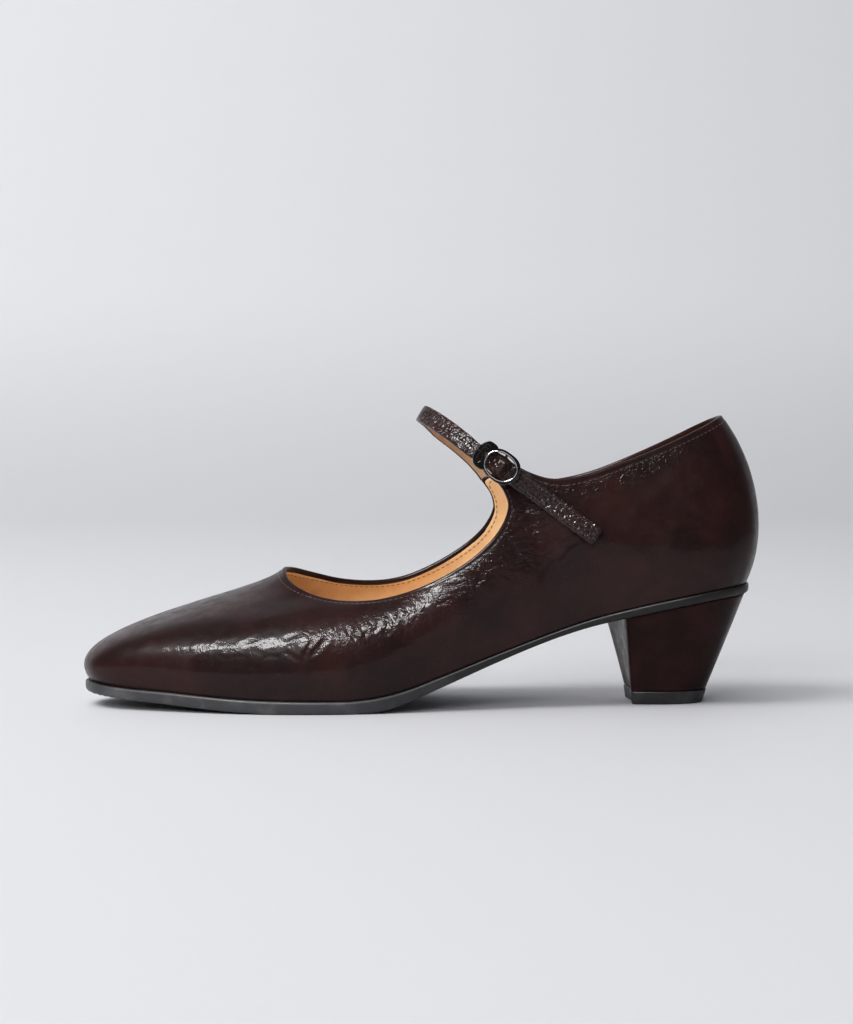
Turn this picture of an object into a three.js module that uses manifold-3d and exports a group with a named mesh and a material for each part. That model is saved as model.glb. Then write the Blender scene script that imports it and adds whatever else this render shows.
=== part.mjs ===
import * as THREE from 'three';
import { mergeVertices } from 'three/examples/jsm/utils/BufferGeometryUtils.js';
import Module from 'manifold-3d';

// Left mary jane shoe, standing empty on its sole. Toe towards -X, heel towards +X,
// outer (lateral) side towards -Y, floor at z = 0, all in millimetres.
const shoeLength = 246;
const ballWidth = 78;
const backHeight = 105;
const halfLength = shoeLength / 2;

const wall = 1.8;
const wallFoot = 2.2;
const seam = 0.3;
const insoleThick = 2.4;

const soleRound = 1.2;

const stations = 54;
const wallRows = 11;
const capRows = 2;

// Heel: its breast and its back as distances ahead of the shoe's back end, and its half
// width, under the seat and then at the top lift.
const heelTopFront = 53.4;
const heelTopBack = 5.2;
const heelTopHalf = 24.0;
const heelFootFront = 48.4;
const heelFootBack = 19.2;
const heelFootHalf = 14.2;
const liftThick = 4.7;
const breastHollow = 1.4;
const breastSkew = 2.2;

const strapWidth = 7.2;
const strapThick = 1.8;
const strapChamfer = 0.4;

// Buckle: place of its window's centre on the outer side, as shares of the shoe's length
// and the back's height, and the strap's slope there. Its frame is sized from the strap.
const buckleAt = 0.6073;
const buckleHigh = 0.8305;
const strapSlope = 36.2;
const strapClear = 0.7;
const railWide = 1.5;
const windowLong = 10.4;
const crossRail = 1.3;
const slotLong = 1.7;
const slotRail = 1.5;
const endRail = 2.1;
const frameBevel = 0.35;
const postLong = 1.4;
const postWide = 1.1;
const windowHalf = strapWidth / 2 + strapClear;
const frameHalf = windowHalf + railWide;

// Lengths below are shares: at of the shoe's length from its toe, wide and out of the
// ball's width, high, rise, thick, up and down of the back's height. Turn runs round
// each side from the toe (0) to the middle of the back (1).
const outline = [
  { turn: 0, at: 0.0077, lateral: 0, medial: 0 },
  { turn: 0.03, at: 0.0126, lateral: 0.0897, medial: 0.0949 },
  { turn: 0.06, at: 0.0236, lateral: 0.1667, medial: 0.1718 },
  { turn: 0.09, at: 0.0447, lateral: 0.2333, medial: 0.2359 },
  { turn: 0.12, at: 0.0732, lateral: 0.2833, medial: 0.2795 },
  { turn: 0.16, at: 0.1179, lateral: 0.3436, medial: 0.3346 },
  { turn: 0.2, at: 0.1687, lateral: 0.4051, medial: 0.391 },
  { turn: 0.24, at: 0.2195, lateral: 0.4538, medial: 0.4359 },
  { turn: 0.28, at: 0.2724, lateral: 0.4872, medial: 0.4615 },
  { turn: 0.32, at: 0.3252, lateral: 0.5013, medial: 0.4641 },
  { turn: 0.36, at: 0.376, lateral: 0.4987, medial: 0.4397 },
  { turn: 0.4, at: 0.4248, lateral: 0.4782, medial: 0.3974 },
  { turn: 0.44, at: 0.4695, lateral: 0.4449, medial: 0.3577 },
  { turn: 0.48, at: 0.5122, lateral: 0.4103, medial: 0.3231 },
  { turn: 0.52, at: 0.5528, lateral: 0.3821, medial: 0.2949 },
  { turn: 0.56, at: 0.5915, lateral: 0.359, medial: 0.2744 },
  { turn: 0.62, at: 0.6423, lateral: 0.3372, medial: 0.259 },
  { turn: 0.68, at: 0.685, lateral: 0.3244, medial: 0.2564 },
  { turn: 0.745, at: 0.7297, lateral: 0.3205, medial: 0.2628 },
  { turn: 0.8, at: 0.7764, lateral: 0.3218, medial: 0.2769 },
  { turn: 0.86, at: 0.8354, lateral: 0.3256, medial: 0.2962 },
  { turn: 0.92, at: 0.9024, lateral: 0.3077, medial: 0.2974 },
  { turn: 0.945, at: 0.9321, lateral: 0.2744, medial: 0.2705 },
  { turn: 0.965, at: 0.9545, lateral: 0.2231, medial: 0.2231 },
  { turn: 0.985, at: 0.974, lateral: 0.1321, medial: 0.1333 },
  { turn: 1, at: 0.9821, lateral: 0, medial: 0 },
];
const profile = [
  { at: 0.0077, rise: 0.0848, thick: 0.0371, ledge: 0.0192 },
  { at: 0.0467, rise: 0.0762, thick: 0.0371, ledge: 0.0192 },
  { at: 0.0854, rise: 0.0705, thick: 0.039, ledge: 0.0192 },
  { at: 0.126, rise: 0.0657, thick: 0.041, ledge: 0.0192 },
  { at: 0.1707, rise: 0.0581, thick: 0.0419, ledge: 0.0192 },
  { at: 0.2167, rise: 0.0505, thick: 0.0429, ledge: 0.0192 },
  { at: 0.2642, rise: 0.0457, thick: 0.0438, ledge: 0.0192 },
  { at: 0.3049, rise: 0.0438, thick: 0.0438, ledge: 0.0192 },
  { at: 0.3496, rise: 0.0429, thick: 0.0429, ledge: 0.0192 },
  { at: 0.3943, rise: 0.0438, thick: 0.0438, ledge: 0.0192 },
  { at: 0.439, rise: 0.0571, thick: 0.0476, ledge: 0.0186 },
  { at: 0.4732, rise: 0.0771, thick: 0.0438, ledge: 0.0179 },
  { at: 0.5122, rise: 0.1095, thick: 0.0381, ledge: 0.0167 },
  { at: 0.5528, rise: 0.1448, thick: 0.0333, ledge: 0.0141 },
  { at: 0.6016, rise: 0.1886, thick: 0.0286, ledge: 0.0122 },
  { at: 0.6463, rise: 0.2276, thick: 0.0248, ledge: 0.0109 },
  { at: 0.6955, rise: 0.2695, thick: 0.0238, ledge: 0.0103 },
  { at: 0.7394, rise: 0.3038, thick: 0.0257, ledge: 0.0103 },
  { at: 0.7833, rise: 0.3314, thick: 0.0286, ledge: 0.0103 },
  { at: 0.8268, rise: 0.3552, thick: 0.0305, ledge: 0.0103 },
  { at: 0.8659, rise: 0.3743, thick: 0.0305, ledge: 0.0103 },
  { at: 0.9004, rise: 0.3895, thick: 0.0305, ledge: 0.0103 },
  { at: 0.9411, rise: 0.4048, thick: 0.0305, ledge: 0.0103 },
  { at: 0.9821, rise: 0.4152, thick: 0.0314, ledge: 0.0103 },
];
const lateralTop = [
  { turn: 0, at: 0.2947, wide: 0, high: 0.4676 },
  { turn: 0.03, at: 0.2963, wide: 0.05, high: 0.4552 },
  { turn: 0.06, at: 0.3012, wide: 0.1, high: 0.439 },
  { turn: 0.09, at: 0.3093, wide: 0.1462, high: 0.4238 },
  { turn: 0.12, at: 0.3207, wide: 0.1885, high: 0.4095 },
  { turn: 0.16, at: 0.339, wide: 0.2359, high: 0.3924 },
  { turn: 0.2, at: 0.3593, wide: 0.2744, high: 0.381 },
  { turn: 0.24, at: 0.3813, wide: 0.2987, high: 0.3748 },
  { turn: 0.28, at: 0.4073, wide: 0.3192, high: 0.3752 },
  { turn: 0.32, at: 0.435, wide: 0.3346, high: 0.3829 },
  { turn: 0.36, at: 0.4659, wide: 0.3513, high: 0.4019 },
  { turn: 0.4, at: 0.4976, wide: 0.3654, high: 0.4295 },
  { turn: 0.44, at: 0.5293, wide: 0.3744, high: 0.4657 },
  { turn: 0.48, at: 0.5585, wide: 0.3795, high: 0.5076 },
  { turn: 0.52, at: 0.5829, wide: 0.3756, high: 0.5533 },
  { turn: 0.56, at: 0.6024, wide: 0.3654, high: 0.6029 },
  { turn: 0.59, at: 0.6146, wide: 0.3551, high: 0.6524 },
  { turn: 0.62, at: 0.6191, wide: 0.3462, high: 0.7105 },
  { turn: 0.64, at: 0.6122, wide: 0.3372, high: 0.7505 },
  { turn: 0.66, at: 0.6008, wide: 0.3282, high: 0.7876 },
  { turn: 0.68, at: 0.5951, wide: 0.3231, high: 0.8229 },
  { turn: 0.7, at: 0.6069, wide: 0.3244, high: 0.8467 },
  { turn: 0.72, at: 0.6268, wide: 0.3295, high: 0.8352 },
  { turn: 0.745, at: 0.6516, wide: 0.3346, high: 0.8076 },
  { turn: 0.77, at: 0.6764, wide: 0.3397, high: 0.7895 },
  { turn: 0.8, at: 0.7049, wide: 0.3372, high: 0.7895 },
  { turn: 0.83, at: 0.7374, wide: 0.3269, high: 0.8038 },
  { turn: 0.86, at: 0.7724, wide: 0.3103, high: 0.8305 },
  { turn: 0.89, at: 0.811, wide: 0.2821, high: 0.8629 },
  { turn: 0.92, at: 0.852, wide: 0.2436, high: 0.901 },
  { turn: 0.945, at: 0.8858, wide: 0.1974, high: 0.9352 },
  { turn: 0.965, at: 0.9118, wide: 0.1487, high: 0.9629 },
  { turn: 0.985, at: 0.9337, wide: 0.0846, high: 0.9886 },
  { turn: 1, at: 0.9431, wide: 0, high: 0.999 },
];
const medialTop = [
  { turn: 0.03, at: 0.2967, wide: 0.0487, high: 0.4733 },
  { turn: 0.06, at: 0.3028, wide: 0.0949, high: 0.4714 },
  { turn: 0.09, at: 0.313, wide: 0.1385, high: 0.4657 },
  { turn: 0.12, at: 0.3268, wide: 0.1756, high: 0.4552 },
  { turn: 0.16, at: 0.348, wide: 0.2154, high: 0.44 },
  { turn: 0.2, at: 0.374, wide: 0.2423, high: 0.4238 },
  { turn: 0.24, at: 0.3984, wide: 0.2731, high: 0.4143 },
  { turn: 0.28, at: 0.4228, wide: 0.2949, high: 0.4105 },
  { turn: 0.32, at: 0.4496, wide: 0.3141, high: 0.4133 },
  { turn: 0.36, at: 0.4789, wide: 0.3282, high: 0.4276 },
  { turn: 0.4, at: 0.5089, wide: 0.341, high: 0.4552 },
  { turn: 0.44, at: 0.5374, wide: 0.3513, high: 0.4895 },
  { turn: 0.48, at: 0.563, wide: 0.3577, high: 0.5267 },
  { turn: 0.52, at: 0.5841, wide: 0.359, high: 0.5657 },
  { turn: 0.56, at: 0.5996, wide: 0.3564, high: 0.6057 },
  { turn: 0.59, at: 0.6089, wide: 0.35, high: 0.6438 },
  { turn: 0.62, at: 0.6118, wide: 0.3449, high: 0.6829 },
  { turn: 0.64, at: 0.6069, wide: 0.3397, high: 0.7181 },
  { turn: 0.66, at: 0.5972, wide: 0.3346, high: 0.7505 },
  { turn: 0.675, at: 0.5931, wide: 0.3321, high: 0.7648 },
  { turn: 0.7, at: 0.6089, wide: 0.3282, high: 0.7857 },
  { turn: 0.725, at: 0.626, wide: 0.3256, high: 0.8019 },
  { turn: 0.745, at: 0.6443, wide: 0.3308, high: 0.7867 },
  { turn: 0.77, at: 0.6667, wide: 0.3372, high: 0.7676 },
  { turn: 0.8, at: 0.6972, wide: 0.3397, high: 0.7638 },
  { turn: 0.83, at: 0.7358, wide: 0.3333, high: 0.779 },
  { turn: 0.86, at: 0.774, wide: 0.3192, high: 0.8067 },
  { turn: 0.89, at: 0.8171, wide: 0.291, high: 0.8495 },
  { turn: 0.92, at: 0.8561, wide: 0.2436, high: 0.8933 },
  { turn: 0.945, at: 0.8878, wide: 0.1987, high: 0.9314 },
  { turn: 0.965, at: 0.9126, wide: 0.15, high: 0.9629 },
  { turn: 0.985, at: 0.9341, wide: 0.0846, high: 0.9886 },
];
const lateralSwell = [
  { turn: 0, footOut: 0.2, footUp: 0.1943, topOut: 0.0987, topDown: 0.111, topBack: 0, aim: 0 },
  { turn: 0.06, footOut: 0.1795, footUp: 0.1924, topOut: 0.1154, topDown: 0.0971, topBack: 0, aim: 8 },
  { turn: 0.12, footOut: 0.1282, footUp: 0.1857, topOut: 0.1603, topDown: 0.0781, topBack: 0, aim: 22 },
  { turn: 0.18, footOut: 0.0833, footUp: 0.1762, topOut: 0.1987, topDown: 0.0619, topBack: 0, aim: 38 },
  { turn: 0.25, footOut: 0.0641, footUp: 0.1571, topOut: 0.1923, topDown: 0.0571, topBack: 0, aim: 55 },
  { turn: 0.32, footOut: 0.0551, footUp: 0.1381, topOut: 0.1538, topDown: 0.0667, topBack: 0, aim: 70 },
  { turn: 0.4, footOut: 0.0462, footUp: 0.119, topOut: 0.1026, topDown: 0.0933, topBack: 0.0061, aim: 80 },
  { turn: 0.48, footOut: 0.041, footUp: 0.1143, topOut: 0.0513, topDown: 0.1048, topBack: 0.0163, aim: 85 },
  { turn: 0.56, footOut: 0.041, footUp: 0.1238, topOut: 0.0256, topDown: 0.1038, topBack: 0.0248, aim: 89 },
  { turn: 0.62, footOut: 0.0436, footUp: 0.1333, topOut: 0.0128, topDown: 0.099, topBack: 0.0329, aim: 90 },
  { turn: 0.66, footOut: 0.0462, footUp: 0.1429, topOut: 0.009, topDown: 0.0562, topBack: 0.061, aim: 90 },
  { turn: 0.7, footOut: 0.0487, footUp: 0.1476, topOut: 0.0077, topDown: 0.0686, topBack: 0.061, aim: 90 },
  { turn: 0.74, footOut: 0.0538, footUp: 0.1524, topOut: 0.009, topDown: 0.1067, topBack: 0.0313, aim: 92 },
  { turn: 0.77, footOut: 0.0564, footUp: 0.1581, topOut: 0.0115, topDown: 0.1276, topBack: 0.0146, aim: 94 },
  { turn: 0.8, footOut: 0.0577, footUp: 0.1619, topOut: 0.0154, topDown: 0.1524, topBack: 0, aim: 96 },
  { turn: 0.86, footOut: 0.0641, footUp: 0.1714, topOut: 0.0385, topDown: 0.1524, topBack: 0, aim: 104 },
  { turn: 0.92, footOut: 0.0833, footUp: 0.1762, topOut: 0.0833, topDown: 0.1524, topBack: 0, aim: 120 },
  { turn: 0.96, footOut: 0.1026, footUp: 0.181, topOut: 0.1282, topDown: 0.1524, topBack: 0, aim: 142 },
  { turn: 1, footOut: 0.116, footUp: 0.1819, topOut: 0.1667, topDown: 0.1514, topBack: 0, aim: 180 },
];
const medialSwell = [
  { turn: 0.06, footOut: 0.1859, footUp: 0.1952, topOut: 0.109, topDown: 0.0905, topBack: 0, aim: 8 },
  { turn: 0.12, footOut: 0.141, footUp: 0.1905, topOut: 0.1538, topDown: 0.0667, topBack: 0, aim: 22 },
  { turn: 0.18, footOut: 0.1026, footUp: 0.1857, topOut: 0.1923, topDown: 0.0476, topBack: 0, aim: 38 },
  { turn: 0.25, footOut: 0.0833, footUp: 0.1762, topOut: 0.1923, topDown: 0.0429, topBack: 0, aim: 55 },
  { turn: 0.32, footOut: 0.0705, footUp: 0.1619, topOut: 0.1538, topDown: 0.0524, topBack: 0, aim: 70 },
  { turn: 0.4, footOut: 0.0577, footUp: 0.1429, topOut: 0.1026, topDown: 0.081, topBack: 0.0061, aim: 80 },
  { turn: 0.48, footOut: 0.0513, footUp: 0.1333, topOut: 0.0513, topDown: 0.1, topBack: 0.0163, aim: 85 },
  { turn: 0.56, footOut: 0.0513, footUp: 0.1333, topOut: 0.0256, topDown: 0.12, topBack: 0.0252, aim: 89 },
  { turn: 0.62, footOut: 0.0538, footUp: 0.1381, topOut: 0.0128, topDown: 0.1295, topBack: 0.0346, aim: 90 },
  { turn: 0.66, footOut: 0.0564, footUp: 0.1429, topOut: 0.009, topDown: 0.0695, topBack: 0.061, aim: 90 },
  { turn: 0.7, footOut: 0.059, footUp: 0.1476, topOut: 0.0077, topDown: 0.0495, topBack: 0.061, aim: 90 },
  { turn: 0.74, footOut: 0.0603, footUp: 0.1524, topOut: 0.009, topDown: 0.099, topBack: 0.0333, aim: 92 },
  { turn: 0.8, footOut: 0.0641, footUp: 0.1619, topOut: 0.0154, topDown: 0.1524, topBack: 0, aim: 96 },
  { turn: 0.86, footOut: 0.0705, footUp: 0.1714, topOut: 0.0385, topDown: 0.1524, topBack: 0, aim: 104 },
  { turn: 0.92, footOut: 0.0872, footUp: 0.1762, topOut: 0.0833, topDown: 0.1524, topBack: 0, aim: 120 },
  { turn: 0.96, footOut: 0.1026, footUp: 0.181, topOut: 0.1282, topDown: 0.1524, topBack: 0, aim: 142 },
];
const strapOver = [
  {
    turn: 0, frontAt: 0.589, frontWide: 0.3385, frontHigh: 0.7733,
    backAt: 0.6232, backWide: 0.3308, backHigh: 0.8124,
  },
  {
    turn: 0.1, frontAt: 0.5772, frontWide: 0.3359, frontHigh: 0.8086,
    backAt: 0.6069, backWide: 0.3205, backHigh: 0.8457,
  },
  {
    turn: 0.26, frontAt: 0.5537, frontWide: 0.3103, frontHigh: 0.861,
    backAt: 0.5785, backWide: 0.2859, backHigh: 0.9105,
  },
  {
    turn: 0.44, frontAt: 0.5211, frontWide: 0.2385, frontHigh: 0.92,
    backAt: 0.5415, backWide: 0.2103, backHigh: 0.9705,
  },
  {
    turn: 0.55, frontAt: 0.5024, frontWide: 0.141, frontHigh: 0.9562,
    backAt: 0.5163, backWide: 0.1231, backHigh: 1.0114,
  },
  {
    turn: 0.66, frontAt: 0.4894, frontWide: 0, frontHigh: 0.98,
    backAt: 0.5033, backWide: -0.0128, backHigh: 1.0333,
  },
  {
    turn: 0.75, frontAt: 0.5065, frontWide: -0.1436, frontHigh: 0.96,
    backAt: 0.5228, backWide: -0.1231, backHigh: 1.0105,
  },
  {
    turn: 0.84, frontAt: 0.5289, frontWide: -0.2385, frontHigh: 0.9248,
    backAt: 0.5447, backWide: -0.2154, backHigh: 0.9743,
  },
  {
    turn: 0.92, frontAt: 0.5476, frontWide: -0.2949, frontHigh: 0.8914,
    backAt: 0.5642, backWide: -0.2756, backHigh: 0.9381,
  },
  {
    turn: 1, frontAt: 0.5663, frontWide: -0.3308, frontHigh: 0.8581,
    backAt: 0.5837, backWide: -0.3192, backHigh: 0.9019,
  },
];

// Smooth line through the rows of a table, every column at once.
function smooth(rows, key, period) {
  const names = Object.keys(rows[0]).filter((name) => name !== key);
  const count = rows.length;
  const row = (i) => {
    if (!period) return rows[Math.min(Math.max(i, 0), count - 1)];
    return rows[((i % count) + count) % count];
  };
  const knot = (i) => {
    if (!period) return rows[Math.min(Math.max(i, 0), count - 1)][key];
    return row(i)[key] + period * Math.floor(i / count);
  };
  const slope = (i, name) => {
    const before = knot(i) - knot(i - 1);
    const after = knot(i + 1) - knot(i);
    const left = before > 0 ? (row(i)[name] - row(i - 1)[name]) / before : null;
    const right = after > 0 ? (row(i + 1)[name] - row(i)[name]) / after : null;
    if (left === null) return right;
    if (right === null) return left;
    return (left * after + right * before) / (before + after);
  };
  return (value) => {
    let v = value;
    if (period) {
      while (v < knot(0)) v += period;
      while (v >= knot(count)) v -= period;
    }
    let i = 0;
    const last = period ? count - 1 : count - 2;
    while (i < last && v >= knot(i + 1)) i += 1;
    const h = knot(i + 1) - knot(i);
    const t = Math.min(Math.max((v - knot(i)) / h, period ? 0 : -0.5), period ? 1 : 1.5);
    const out = {};
    for (const name of names) {
      const a = row(i)[name];
      const b = row(i + 1)[name];
      const ma = slope(i, name) * h;
      const mb = slope(i + 1, name) * h;
      const t2 = t * t;
      const t3 = t2 * t;
      out[name] = (2 * t3 - 3 * t2 + 1) * a + (t3 - 2 * t2 + t) * ma
        + (3 * t2 - 2 * t3) * b + (t3 - t2) * mb;
    }
    return out;
  };
}

// Both sides of the shoe as one closed round: lateral turns are negative.
function round(lateral, medial, flip) {
  const left = lateral.map((r) => ({ ...flip(r, -1), turn: -r.turn })).reverse();
  const right = medial.filter((r) => r.turn > 0 && r.turn < 1).map((r) => flip(r, 1));
  return smooth([...left, ...right], 'turn', 2);
}

const footRound = round(
  outline.map((r) => ({ turn: r.turn, at: r.at, wide: r.lateral })),
  outline.map((r) => ({ turn: r.turn, at: r.at, wide: r.medial })),
  (r, side) => ({ ...r, wide: side * r.wide }),
);
const topRound = round(lateralTop, medialTop, (r, side) => ({ ...r, wide: side * r.wide }));
const swellRound = round(lateralSwell, medialSwell, (r, side) => {
  const angle = THREE.MathUtils.degToRad(r.aim);
  return {
    turn: r.turn,
    footOut: r.footOut,
    footUp: r.footUp,
    topOut: r.topOut,
    topDown: r.topDown,
    topBack: r.topBack,
    aimX: -Math.cos(angle),
    aimY: side * Math.sin(angle),
  };
});
const soleLine = smooth(profile, 'at');

const atX = (share) => share * shoeLength - halfLength;
const riseAt = (x) => soleLine((x + halfLength) / shoeLength).rise * backHeight;
const thickAt = (x) => soleLine((x + halfLength) / shoeLength).thick * backHeight;
const ledgeAt = (x) => soleLine((x + halfLength) / shoeLength).ledge * ballWidth;
const bottomAt = (x) => Math.max(riseAt(x) - thickAt(x), 0);

function footPoint(turn) {
  const r = footRound(turn);
  return new THREE.Vector2(atX(r.at), r.wide * ballWidth);
}

// Level direction pointing out of the sole's outline.
function footOutward(turn) {
  const step = 0.004;
  const a = footPoint(turn - step);
  const b = footPoint(turn + step);
  const d = b.sub(a);
  return new THREE.Vector2(-d.y, d.x).normalize().multiplyScalar(1);
}

// Outer face of the upper: t = 0 where it meets the sole, t = 1 at its top edge.
function skin(turn, t) {
  const foot = footPoint(turn);
  const out = footOutward(turn);
  const s = swellRound(turn);
  const top = topRound(turn);
  const p0 = new THREE.Vector3(foot.x, foot.y, riseAt(foot.x) + seam);
  const p3 = new THREE.Vector3(atX(top.at), top.wide * ballWidth, top.high * backHeight);
  const aim = new THREE.Vector2(s.aimX, s.aimY).normalize();
  const p1 = new THREE.Vector3(
    p0.x + out.x * s.footOut * ballWidth,
    p0.y + out.y * s.footOut * ballWidth,
    p0.z + s.footUp * backHeight,
  );
  const p2 = new THREE.Vector3(
    p3.x + aim.x * s.topOut * ballWidth + s.topBack * shoeLength,
    p3.y + aim.y * s.topOut * ballWidth,
    p3.z - s.topDown * backHeight,
  );
  return new THREE.CubicBezierCurve3(p0, p1, p2, p3).getPoint(t);
}

// Closed mesh from a list of faces over points, turned to face out.
function solid(points, faces) {
  let volume = 0;
  for (const [a, b, c] of faces) {
    volume += points[a].dot(new THREE.Vector3().crossVectors(points[b], points[c]));
  }
  const geometry = new THREE.BufferGeometry();
  geometry.setAttribute('position', new THREE.Float32BufferAttribute(
    points.flatMap((p) => [p.x, p.y, p.z]), 3,
  ));
  geometry.setIndex(faces.flatMap(([a, b, c]) => (volume < 0 ? [a, c, b] : [a, b, c])));
  geometry.computeVertexNormals();
  return geometry;
}

function bridge(faces, a, b, c, d) {
  faces.push([a, b, c]);
  faces.push([a, c, d]);
}

// Tube: rings joined one to the next, and the last to the first.
function tube(rings) {
  const size = rings[0].length;
  const points = rings.flat();
  const faces = [];
  rings.forEach((ring, k) => {
    const base = k * size;
    const next = ((k + 1) % rings.length) * size;
    for (let j = 0; j < size; j += 1) {
      const n = (j + 1) % size;
      bridge(faces, base + j, base + n, next + n, next + j);
    }
  });
  return solid(points, faces);
}

// Slab: rings from one face to the other, both faces filled straight across by level.
// Each ring starts at one end of the centre line and holds an even number of points.
function slab(rings, firstLevel, lastLevel, across) {
  const size = rings[0].length;
  const half = size / 2;
  const points = rings.flat();
  const faces = [];
  for (let k = 0; k + 1 < rings.length; k += 1) {
    for (let j = 0; j < size; j += 1) {
      const n = (j + 1) % size;
      bridge(faces, k * size + j, k * size + n, (k + 1) * size + n, (k + 1) * size + j);
    }
  }
  const cap = (start, level, turned) => {
    const rows = [];
    for (let j = 1; j < half; j += 1) {
      const a = points[start + j];
      const b = points[start + size - j];
      const line = [start + j];
      for (let i = 1; i < across; i += 1) {
        const p = new THREE.Vector3().lerpVectors(a, b, i / across);
        p.z = level(p, i / across, a, b);
        points.push(p);
        line.push(points.length - 1);
      }
      line.push(start + size - j);
      rows.push(line);
    }
    const add = (a, b, c) => faces.push(turned ? [a, c, b] : [a, b, c]);
    for (let i = 0; i < across; i += 1) {
      add(start, rows[0][i + 1], rows[0][i]);
      const end = rows[rows.length - 1];
      add(start + half, end[i], end[i + 1]);
    }
    for (let j = 0; j + 1 < rows.length; j += 1) {
      for (let i = 0; i < across; i += 1) {
        add(rows[j][i], rows[j][i + 1], rows[j + 1][i + 1]);
        add(rows[j][i], rows[j + 1][i + 1], rows[j + 1][i]);
      }
    }
  };
  cap(0, firstLevel, false);
  cap((rings.length - 1) * size, lastLevel, true);
  return solid(points, faces);
}

// Block: rings from one face to the other, both faces filled inwards to a hub.
function block(rings, firstLevel, lastLevel, hubX) {
  const size = rings[0].length;
  const points = rings.flat();
  const faces = [];
  for (let k = 0; k + 1 < rings.length; k += 1) {
    for (let j = 0; j < size; j += 1) {
      const n = (j + 1) % size;
      bridge(faces, k * size + j, k * size + n, (k + 1) * size + n, (k + 1) * size + j);
    }
  }
  const fill = (ring, start, level, turned) => {
    const add = (a, b, c) => faces.push(turned ? [a, c, b] : [a, b, c]);
    const hub = new THREE.Vector3(hubX, 0, level(hubX));
    let from = start;
    for (const share of [1 / 3, 2 / 3]) {
      const base = points.length;
      for (const p of ring) {
        const q = new THREE.Vector3().lerpVectors(p, hub, share);
        q.z = level(q.x);
        points.push(q);
      }
      for (let j = 0; j < size; j += 1) {
        const n = (j + 1) % size;
        add(from + j, base + n, from + n);
        add(from + j, base + j, base + n);
      }
      from = base;
    }
    points.push(hub);
    for (let j = 0; j < size; j += 1) {
      add(from + j, points.length - 1, from + ((j + 1) % size));
    }
  };
  fill(rings[0], 0, firstLevel, false);
  fill(rings[rings.length - 1], (rings.length - 1) * size, lastLevel, true);
  return solid(points, faces);
}

// Turns of the stations, the same on both sides: spread evenly along the sole's edge
// and the top edge, and closer round the toe and the back.
function spreadTurns() {
  const fine = 1200;
  const sums = [0];
  const place = (turn) => {
    const f = footPoint(turn);
    const r = topRound(turn);
    return [f, new THREE.Vector3(atX(r.at), r.wide * ballWidth, r.high * backHeight)];
  };
  for (let k = 1; k <= fine; k += 1) {
    let step = 0;
    for (const side of [-1, 1]) {
      const [f0, t0] = place((side * (k - 1)) / fine);
      const [f1, t1] = place((side * k) / fine);
      step += f0.distanceTo(f1) + 0.8 * t0.distanceTo(t1);
    }
    const near = k / fine;
    if (near > 0.93) step *= 1.7;
    if (near < 0.08) step *= 1.25;
    sums.push(sums[k - 1] + step);
  }
  const list = [];
  let k = 0;
  for (let j = 0; j <= stations; j += 1) {
    const goal = (sums[fine] * j) / stations;
    while (k < fine && sums[k] < goal) k += 1;
    const before = Math.max(k - 1, 0);
    const gap = sums[k] - sums[before];
    list.push((before + (gap > 0 ? (goal - sums[before]) / gap : 0)) / fine);
  }
  return list;
}

const sideTurns = spreadTurns();
const turns = [];
for (let j = 0; j < stations; j += 1) turns.push(-sideTurns[stations - j]);
for (let j = 0; j < stations; j += 1) turns.push(sideTurns[j]);

// Ring set off from the sole's outline, past its ledge where ledge is 1.
function footRing(ledge, offset, level) {
  return turns.map((turn) => {
    const foot = footPoint(turn);
    const far = ledge * ledgeAt(foot.x) + offset;
    const p = foot.addScaledVector(footOutward(turn), far);
    return new THREE.Vector3(p.x, p.y, level(p.x));
  });
}

// Upper: one wall, its outer face from the tables and its inner face set back from it.
function upperGeometry() {
  const outer = [];
  for (let i = 0; i <= wallRows; i += 1) {
    outer.push(turns.map((turn) => skin(turn, (i / wallRows) ** 1.3)));
  }
  const size = turns.length;
  const inner = outer.map((ring, i) => ring.map((p, j) => {
    if (i === 0) {
      const f = footPoint(turns[j]).addScaledVector(footOutward(turns[j]), -wallFoot);
      return new THREE.Vector3(f.x, f.y, riseAt(f.x) + seam);
    }
    const along = new THREE.Vector3().subVectors(ring[(j + 1) % size], ring[(j + size - 1) % size]);
    const above = outer[Math.min(i + 1, wallRows)][j];
    const up = new THREE.Vector3().subVectors(above, outer[i - 1][j]);
    const inward = new THREE.Vector3().crossVectors(along, up).normalize();
    return p.clone().addScaledVector(inward, wall);
  }));
  return tube([...outer, ...inner.reverse()]);
}

function outsoleGeometry() {
  const level = (p) => riseAt(p.x);
  const bottom = (p) => bottomAt(p.x);
  const rings = [
    footRing(1, -0.5, (x) => riseAt(x)),
    footRing(1, 0, (x) => riseAt(x) - 0.5),
    footRing(1, 0, (x) => bottomAt(x) + soleRound),
    footRing(1, -soleRound * 0.35, (x) => bottomAt(x) + soleRound * 0.35),
    footRing(1, -soleRound, (x) => bottomAt(x)),
  ];
  return slab(rings, level, bottom, capRows);
}

function insoleGeometry() {
  const inset = -(wallFoot + seam + 0.1);
  const low = (p) => riseAt(p.x) + seam;
  const high = (p) => riseAt(p.x) + seam + insoleThick;
  const rings = [
    footRing(0, inset, (x) => low({ x })),
    footRing(0, inset, (x) => high({ x }) - 0.6),
    footRing(0, inset - 0.6, (x) => high({ x })),
  ];
  return slab(rings, low, high, capRows);
}

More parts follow.
